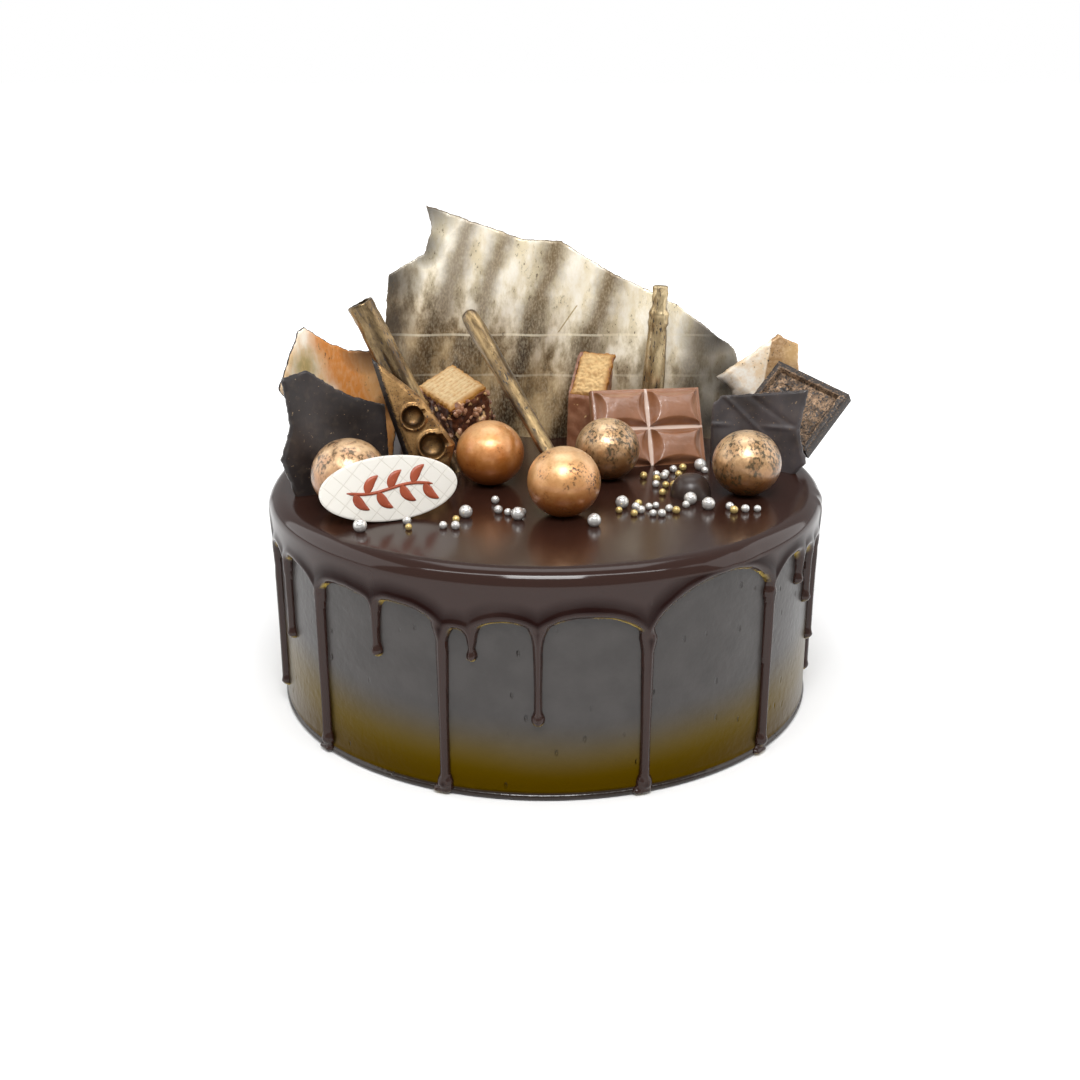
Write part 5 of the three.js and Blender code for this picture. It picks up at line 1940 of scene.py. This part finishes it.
@dataclass
class RightWafer:
    """The wafer that stands in a smooth coat, cut off at a slope that faces the front."""

    place: Place = Place(13.4, 28.5, 73, -20, 3, 1)
    width: float = 13.0
    length: float = 11.0
    cut: float = 18.5
    slope: float = 52.0
    coat: float = 1.3

    def sleeve(self) -> None:
        """Builds the coat."""
        outer = rounded_rectangle(self.width, self.length, 1.0, 120) + [0, self.length / 2]
        inner = rounded_rectangle(self.width - 1.6, self.length - 1.6, 0.6, 120) + [0, self.length / 2]
        rise = math.tan(math.radians(self.slope))

        def ring(loop: np.ndarray, share: float, drop: float) -> np.ndarray:
            """A ring at a share of the way up to the cut, less a drop."""
            top = self.cut + loop[:, 1] * rise - drop
            return np.column_stack([loop, -1 + (top + 1) * share])

        rings = [ring(outer, share, 0.0) for share in np.linspace(0, 1, 50)]
        rings += [ring(inner, 1.0, 0.2), ring(inner, 1.0, 4.0)]
        body = np.array(rings)
        body[1:50] += 0.2 * np.stack([lumps(body[1:50], 3, 80 + k) for k in range(3)], -1)
        body[49:51] += 0.3 * np.stack([lumps(body[49:51], 1.3, 84 + k) for k in range(3)], -1)
        middle = self.length / 2
        end = (0, middle, self.cut + middle * rise - 4)
        points, faces = closed_rings(body, (0, middle, -1), end)
        piece = make_object(
            "wafer_right_sleeve", seated(self.place.put(points)), faces, Finishes.smooth_coat.material(),
            points, sharp=60.0,
        )
        settle(piece, "nut_coat", "wafer_right_coat")

    def core(self) -> None:
        """Builds the crumb, whose cut face reaches past the coat at its top and right."""
        slope = math.radians(self.slope)
        left, right, low = -self.width / 2 + 0.9, self.width / 2 + 0.1, 0.7
        tall = (self.length - low + 0.2) / math.cos(slope)
        u, v = np.linspace(left, right, 90), np.linspace(0, tall, 130)
        grid = np.stack(np.meshgrid(u, v), -1)
        sides = np.minimum(grid[..., 0] - left, right - grid[..., 0])
        inset = np.minimum(sides, np.minimum(grid[..., 1], tall - grid[..., 1]))
        loose = np.clip(1 - inset / 2, 0, 1)[..., None] * 0.5
        grid = grid + loose * np.stack([lumps(grid, 1.5, 93 + k) for k in (0, 1)], -1)
        rough = 0.6 * lumps(grid, 2.2, 91) + 0.4 * lumps(grid, 1.0, 92)
        front = rough - 0.6 + np.interp(inset, [0, 0.9], [0.7, 0])
        points, faces = slab(grid, front, np.full_like(front, 1.6))
        turn = np.array(Matrix.Rotation(slope - math.pi / 2, 3, "X"))
        foot = [0, low, self.cut + low * math.tan(slope)]
        placed = self.place.put(points @ turn.T + foot)
        edge = np.clip(1 - inset / 1.9, 0, 1).ravel()
        piece = make_object(
            "wafer_right_crumb", placed, faces, Finishes.wafer_right.material(), points,
            {"edge": np.tile(edge, 2)},
        )
        settle(piece, "wafer", "wafer_right_core")

    def build(self) -> None:
        """Builds, dresses and settles the wafer."""
        self.sleeve()
        self.core()


@dataclass
class MilkBar:
    """The leaning bar piece of two by two segments, each a raised face whose four bevels are
    widest in the middle of their sides."""

    place: Place = Place(37.3, 6.9, 73.4, 12, 28.5, 1.1)
    width: float = 38.7
    height: float = 28.0
    depth: float = 6.4
    gap: float = 0.9
    rise: float = 2.6
    bevel: tuple[float, float] = (3.4, 2.6)

    def build(self) -> None:
        """Builds, dresses and settles the bar."""
        u, v = crowded(170, self.width, 0.6), crowded(130, self.height, 0.6)
        grid = np.stack(np.meshgrid((u - 0.5) * self.width, v * self.height), -1)
        across, up = grid[..., 0], grid[..., 1]
        wide, tall = (self.width - 3 * self.gap) / 2, (self.height - 3 * self.gap) / 2
        dx = np.abs(across) - (wide + self.gap) / 2
        middle = self.gap + tall / 2 + np.where(up > self.height / 2, tall + self.gap, 0)
        dz = up - middle
        a, b = np.clip(np.abs(dx) / (wide / 2), 0, 1), np.clip(np.abs(dz) / (tall / 2), 0, 1)
        side = (wide / 2 - np.abs(dx)) / (0.5 + self.bevel[0] * (1 - b**2))
        ends = (tall / 2 - np.abs(dz)) / (0.5 + self.bevel[1] * (1 - a**2))
        share = np.clip(np.minimum(side, ends), 0, 1)
        raised = self.rise * (share * share * (3 - 2 * share))
        dome = 0.55 * (1 - a**2) * (1 - b**2)
        front = self.rise + 0.4 - raised - dome + 0.05 * lumps(grid, 3.0, 99)
        reach = np.minimum(np.minimum(u, 1 - u)[None] * self.width, np.minimum(v, 1 - v)[:, None] * self.height)
        front += np.interp(reach, [0, 0.24, 0.6], [0.5, 0.12, 0])
        groove = np.clip(1 - np.maximum(side, 0) / 0.12, 0, 1) * (np.abs(across) < 2)
        level = np.clip(1 - np.maximum(ends, 0) / 0.12, 0, 1) * (np.abs(up - self.height / 2) < 2)
        pale = np.maximum(groove, level)
        points, faces = slab(grid, front, np.full_like(front, self.depth))
        values = {"groove": np.concatenate([pale.ravel(), 0 * pale.ravel()])}
        placed = seated(self.place.put(points))
        piece = make_object("moulded_milk_bar", placed, faces, Finishes.milk_bar.material(), points, values)
        settle(piece, "milk_chocolate", "milk_bar")


@dataclass
class Tablet:
    """The square piece with a raised plain rim round a sunken, gold rubbed field."""

    place: Place = Place(77, 13, 83.3, -29, 43, 19.6)
    width: float = 29.6
    height: float = 25.4
    depth: float = 5.0
    rim: float = 2.3
    sink: float = 1.6

    def build(self) -> None:
        """Builds, dresses and settles the tablet."""
        u, v = crowded(120, self.width), crowded(110, self.height)
        grid = np.stack(np.meshgrid((u - 0.5) * self.width, v * self.height), -1)
        reach = np.minimum(np.minimum(u, 1 - u)[None] * self.width, np.minimum(v, 1 - v)[:, None] * self.height)
        front = np.interp(reach, [0, 0.36, 0.9], [0.7, 0.15, 0])
        front += np.interp(reach, [self.rim, self.rim + 1.0], [0, self.sink])
        field_share = np.interp(reach, [self.rim, self.rim + 1.0], [0, 1])
        front += field_share * (0.22 * lumps(grid, 1.6, 95) + 0.12 * lumps(grid, 0.7, 96))
        front += 0.14 * lumps(grid, 3, 97) + 0.08 * lumps(grid, 1.2, 98)
        hole = np.clip(1 - np.hypot(grid[..., 0] + 7, (grid[..., 1] - 17) * 1.6) / 3.4, 0, 1)
        front += 1.2 * np.sqrt(hole)
        bare = np.interp(reach, [self.rim - 0.6, self.rim + 0.8], [0.62, 0]) + hole
        points, faces = slab(grid, front, np.full_like(front, self.depth))
        values = {"bare": np.concatenate([bare.ravel(), np.full(bare.size, 0.7)])}
        placed = seated(self.place.put(points))
        piece = make_object("rubbed_tablet", placed, faces, Finishes.tablet.material(), points, values)
        settle(piece, "dark_chocolate", "dark_tablet")


@dataclass
class Plaque:
    """The oval sugar plaque, with a plain piped sprig on its face."""

    place: Place = Place(-47.8, -50.2, 73.2, 22, 14.5)
    width: float = 43.0
    height: float = 19.8
    depth: float = 2.2
    shift: float = 1.8
    leaves: int = 7
    leaf: tuple[float, float] = (6.6, 2.9)
    piping: float = 0.55

    def disc(self) -> None:
        """Builds the oval."""
        turn = np.linspace(0, math.tau, 160, endpoint=False)
        unit = np.stack([np.cos(turn), np.sin(turn)], -1)
        half = np.array([self.width / 2, self.height / 2])
        steps = [(0.4, self.depth), (0, self.depth - 0.3), (0, 0.5), (0.12, 0.18), (0.45, 0.0)]
        rings = [np.column_stack([unit * (half - inset), np.full(160, y)]) for inset, y in steps]
        rings += [np.column_stack([unit * half * share, np.zeros(160)]) for share in np.linspace(0.94, 0.1, 12)]
        body = np.array(rings)[..., [0, 2, 1]] + [self.shift, 0, self.height / 2]
        points, faces = closed_rings(
            body, (self.shift, self.depth, self.height / 2), (self.shift, 0, self.height / 2)
        )
        piece = make_object(
            "sugar_plaque", seated(self.place.put(points)), faces, Finishes.plaque.material(), points
        )
        settle(piece, "sugar", "plaque")

    def sprig(self) -> None:
        """Pipes a wavy stem with leaves that lean along it on both sides."""
        along_stem = np.linspace(-13.5, 13.5, 90)
        rise = 0.9 * np.sin(along_stem / 4.3)
        strokes = [(np.column_stack([along_stem, rise]), np.interp(along_stem, [-13.5, -12, 12, 13.5], [0.15, 0.5, 0.5, 0.15]))]
        for i in range(self.leaves):
            x = -11 + 22 * i / (self.leaves - 1)
            lean = math.radians(52 if i % 2 else -52)
            reach, width = self.leaf
            t = np.linspace(0, 1, 40)
            bow = 0.9 * np.sin(math.pi * t) * (1 if i % 2 else -1)
            path = np.column_stack([
                x + reach * t * math.cos(lean) - bow * math.sin(lean),
                0.9 * math.sin(x / 4.3) + reach * t * math.sin(lean) + bow * math.cos(lean),
            ])
            strokes.append((path, width / 2 * np.sin(math.pi * t**0.75) ** 0.8 + 0.08))
        points: list[np.ndarray] = []
        faces: Faces = []
        bend = np.linspace(0, math.pi, 9)
        across = -np.cos(bend)
        for path, half in strokes:
            ahead = np.gradient(path, axis=0)
            ahead /= np.hypot(*ahead.T)[:, None]
            normal = np.column_stack([-ahead[:, 1], ahead[:, 0]])
            flat = path[:, None] + normal[:, None] * (half[:, None] * across)[..., None]
            dome = -self.piping * np.sin(bend) * np.clip(half / 0.5, 0, 1)[:, None] + 0.05
            front = np.stack([flat[..., 0] + self.shift, dome, flat[..., 1] + self.height / 2], -1)
            back = front[:, [-1, 0]] + [0, 0.15, 0]
            rings = np.concatenate([front, back], 1)[:, ::-1]
            stroke, sides = closed_rings(rings, rings[0].mean(0), rings[-1].mean(0))
            first = sum(len(p) for p in points)
            faces += [tuple(first + i for i in side) for side in sides]
            points.append(stroke)
        own = np.concatenate(points)
        piece = make_object("plaque_sprig", self.place.put(own), faces, Finishes.sprig.material(), own)
        settle(piece, "milk_chocolate")

    def build(self) -> None:
        """Builds, dresses and settles the plaque."""
        self.disc()
        self.sprig()


@dataclass
class GanacheDrop:
    """The small glossy dome of ganache, set in slight folds."""

    x: float = 46.5
    y: float = -22.5
    radius: float = 6.6
    height: float = 6.6
    folds: float = 0.18

    def build(self) -> None:
        """Builds, dresses and settles the dome."""
        turn = np.linspace(0, math.tau, 72, endpoint=False)
        bend = np.radians(np.linspace(0, 88, 28))
        out = self.radius * np.cos(bend) ** 0.8
        up = SUNK_LEVEL + (SEAT - SUNK_LEVEL + self.height) * np.sin(bend)
        rings = np.stack([np.stack([r * np.cos(turn), r * np.sin(turn), np.full_like(turn, z)], -1)
                          for r, z in zip(out, up)])
        fold = 1 + self.folds * 0.12 * np.sin(3 * turn + 0.6)[None] * np.sin(2 * bend)[:, None]
        rings[..., :2] *= fold[..., None]
        rings[..., :2] += [self.x, self.y]
        points, faces = closed_rings(rings, (self.x, self.y, SUNK_LEVEL), (self.x, self.y, SEAT + self.height))
        piece = make_object("ganache_dome", points, faces, Finishes.ganache.material(), sharp=60.0)
        settle(piece, "dark_chocolate", "ganache_drop")


class Shards:
    """The five shards that stand in the glaze."""

    @staticmethod
    def fluted(x: np.ndarray, z: np.ndarray) -> np.ndarray:
        """The gold shard's slanting flutes."""
        return 1.5 * np.sin(math.tau * (x - 0.45 * z) / 20.5)

    @staticmethod
    def curled(x: np.ndarray, z: np.ndarray) -> np.ndarray:
        """The bronze shard's curl."""
        return -0.014 * (x + 3) ** 2

    @staticmethod
    def waved(x: np.ndarray, z: np.ndarray) -> np.ndarray:
        """The left dark shard's slow wave."""
        return 0.9 * np.sin(math.tau * (x + 0.6 * z) / 34)

    @staticmethod
    def creased(x: np.ndarray, z: np.ndarray) -> np.ndarray:
        """The right dark shard's wave, with a low crease across it and two that lean."""
        sides = np.clip(np.abs(x) / 6 - 0.6, 0, 1)
        across = np.exp(-(((z - 13.6 - 0.08 * x) / 0.8) ** 2)) * sides
        first = np.exp(-(((z + 0.75 * x - 16) / 1.0) ** 2)) * np.clip((z - 6) / 8, 0, 1)
        second = np.exp(-(((z + 0.5 * x - 24) / 1.2) ** 2))
        return Shards.waved(x, z) - 0.4 * across - 0.35 * first + 0.3 * second

    @staticmethod
    def folded(x: np.ndarray, z: np.ndarray) -> np.ndarray:
        """The copper shard's fold."""
        return 0.5 * np.maximum(0, 3 + 0.16 * z - x)

    def build(self) -> None:
        """Builds every shard."""
        gold = Outline(
            left=[(-58, -2), (-63.6, 27.9), (-63.2, 42.3), (-61.8, 58.3), (-49.2, 65.7), (-46.2, 74), (-47.7, 82.3)],
            top=[(-47.7, 82.3), (-14.3, 70.9), (0, 70), (15.7, 60.1), (41, 47.9), (62.5, 31.9)],
            right=[(55, -2), (62.5, 13), (64.5, 25.5), (62.5, 31.9)],
            bottom=[(-58, -2), (55, -2)],
        )
        # The gold shard's dark spots are painted shade, along its left edge and at its lower right.
        Sheet("gold_shard", Place(6, 46, 73, 0, 6), gold, self.fluted, Finishes.gold_shard, "gold",
              columns=190, rows=130, seed=2, bare=0.45, painted_shade=(
                  (-65, 26, 14), (-65, 42, 14), (-62, 57, 13), (-50, 69, 9), (-48, 84, 14), (57, 36, 16),
                  (62, 22, 22), (54, 6, 20),
              )).build()
        bronze = Outline(
            left=[(-17, -2), (-23.4, 25.4), (-26, 29.5), (-17.6, 47.1), (-15.2, 48.6)],
            top=[(-15.2, 48.6), (-6.2, 41.9), (-0.3, 39.6), (9, 38.6)],
            right=[(11, -2), (14.4, 21.6), (9, 38.6)],
            bottom=[(-17, -2), (11, -2)],
        )
        Sheet("bronze_shard", Place(-64, 8, 73, 20, 6), bronze, self.curled, Finishes.bronze_shard, "bronze",
              bare=0.5, painted_shade=((5, 40, 9), (11, 20, 5)), seed=4).build()
        copper = Outline(
            left=[(-3, -2), (-2, 19), (-7.3, 23.5)],
            top=[(-7.3, 23.5), (9.2, 36.4), (12.8, 39.2), (20.2, 35.4)],
            right=[(19, -2), (20.6, 26.7), (20.2, 35.4)],
            bottom=[(-3, -2), (19, -2)],
        )
        Sheet("copper_shard", Place(70, 35.5, 73, 6, 5), copper, self.folded, Finishes.copper_shard, "bronze",
              thickness=2.6, columns=70, painted_shade=((-6, 19, 7), (-1, 15, 6)), seed=6).build()
        dark_left = Outline(
            left=[(-20.4, -2), (-25, 12.2), (-21.4, 23.1), (-22.5, 37.7)],
            top=[(-22.5, 37.7), (-13.4, 39.4), (-5, 32.8), (1.3, 29.1), (11.8, 25.3)],
            right=[(12.5, -2), (11.8, 25.3)],
            bottom=[(-20.4, -2), (12.5, -2)],
        )
        Sheet("dark_shard_left", Place(-62, -13, 73, 33, 4), dark_left, self.waved, Finishes.dark_shard,
              "dark_chocolate", seed=8).build()
        dark_right = Outline(
            left=[(-12, -2), (-12.9, 19.4), (-10.6, 22.4)],
            top=[(-10.6, 22.4), (5.3, 25.4), (20.1, 28.2)],
            right=[(17, -2), (22.3, 3.8), (18.8, 14), (20.1, 28.2)],
            bottom=[(-12, -2), (17, -2)],
        )
        Sheet("dark_shard_right", Place(68, 10, 73, -30, 6), dark_right, self.creased, Finishes.right_shard,
              "dark_chocolate", seed=10).build()


@dataclass
class Studio:
    """The floor, the soft lights and the camera."""

    camera_at: tuple[float, float, float] = (-0.0018, -0.45, 0.2122)
    pitch: float = 19.92
    lens: float = 46.67
    world: float = 0.45
    floor: str = "f4f4f4"
    glow: float = 0.7
    glow_from: tuple[float, float] = (0.13, 0.6)

    def light(self, name: str, at: tuple[float, float, float], size: tuple[float, float], power: float) -> None:
        """Adds a soft box that faces the cake.

        Args:
            name: The light's name.
            at: Its place in metres.
            size: Its width and height in metres.
            power: Its power in watts.
        """
        lamp = bpy.data.lights.new(name, "AREA")
        lamp.shape = "RECTANGLE"
        lamp.size, lamp.size_y = size
        lamp.energy = power
        box = bpy.data.objects.new(name, lamp)
        box.location = at
        box.rotation_euler = (Vector((0, 0, 0.06)) - Vector(at)).to_track_quat("-Z", "Y").to_euler()
        bpy.context.scene.collection.objects.link(box)

    def build(self) -> None:
        """Sets the studio up."""
        scene = bpy.context.scene
        camera = bpy.data.cameras.new("camera")
        camera.sensor_width = 36
        camera.lens = self.lens
        holder = bpy.data.objects.new("camera", camera)
        holder.location = self.camera_at
        holder.rotation_euler = (math.radians(90 - self.pitch), 0, 0)
        scene.collection.objects.link(holder)
        scene.camera = holder
        self.light("key", (0.0, -0.6, 0.84), (0.42, 0.3), 5.2)
        self.light("front strip", (0.0, -0.5, 0.92), (1.5, 0.1), 3.4)
        self.light("top", (0.0, 0.25, 1.1), (0.8, 0.5), 3.0)
        self.light("left", (-1.0, 0.1, 0.5), (1.2, 0.9), 4.5)
        self.light("right", (1.0, 0.1, 0.5), (1.2, 0.9), 4.5)
        scene.world = self.sky()
        scene.view_settings.view_transform = "Standard"
        mesh = bpy.data.meshes.new("floor")
        mesh.from_pydata([(-6, -6, 0), (6, -6, 0), (6, 6, 0), (-6, 6, 0)], [], [(0, 1, 2, 3)])
        mesh.materials.append(self.floor_material())
        ground = bpy.data.objects.new("floor", mesh)
        scene.collection.objects.link(ground)

    def sky(self) -> bpy.types.World:
        """White all round, brighter to the camera than it lights the cake."""
        world = bpy.data.worlds.new("studio")
        world.use_nodes = True
        tree = world.node_tree
        seen = add_node(tree, Kind.LIGHT_PATH, out="Is Camera Ray")
        strength = add_node(tree, Kind.RANGE, {"Value": seen, "To Min": self.world, "To Max": 1.0})
        background = tree.nodes["Background"]
        background.inputs["Color"].default_value = linear("ffffff")
        tree.links.new(strength, background.inputs["Strength"])
        return world

    def floor_material(self) -> bpy.types.Material:
        """Matte white, lifted to pure white in the picture away from the cake's own shadow."""
        material = bpy.data.materials.new("studio floor")
        material.use_nodes = True
        tree = material.node_tree
        shader = tree.nodes["Principled BSDF"]
        shader.inputs["Base Color"].default_value = linear(self.floor)
        shader.inputs["Roughness"].default_value = 0.9
        shader.inputs["Emission Color"].default_value = linear("ffffff")
        place = add_node(tree, Kind.COORDINATES, out="Object")
        away = add_node(tree, Kind.VECTOR, {0: place}, "Value", operation="LENGTH")
        near, far = self.glow_from
        ends = {"Value": away, "From Min": near, "From Max": far, "To Max": self.glow}
        rise = add_node(tree, Kind.RANGE, ends, interpolation_type="SMOOTHSTEP")
        seen = add_node(tree, Kind.LIGHT_PATH, out="Is Camera Ray")
        glow = add_node(tree, Kind.MATH, {0: rise, 1: seen}, operation="MULTIPLY")
        tree.links.new(glow, shader.inputs["Emission Strength"])
        return material


def main() -> None:
    """Builds the cake's pieces in order."""
    logging.basicConfig(level=logging.INFO, format="%(name)s %(message)s")
    Studio().build()
    for part in (
        Coat(), Glaze(), Pearls(), Balls(), Shards(), Sticks(), CupBar(), LeftWafer(), RightWafer(),
        MilkBar(), Tablet(), Plaque(), GanacheDrop(),
    ):
        part.build()


if __name__ == "__main__":
    main()
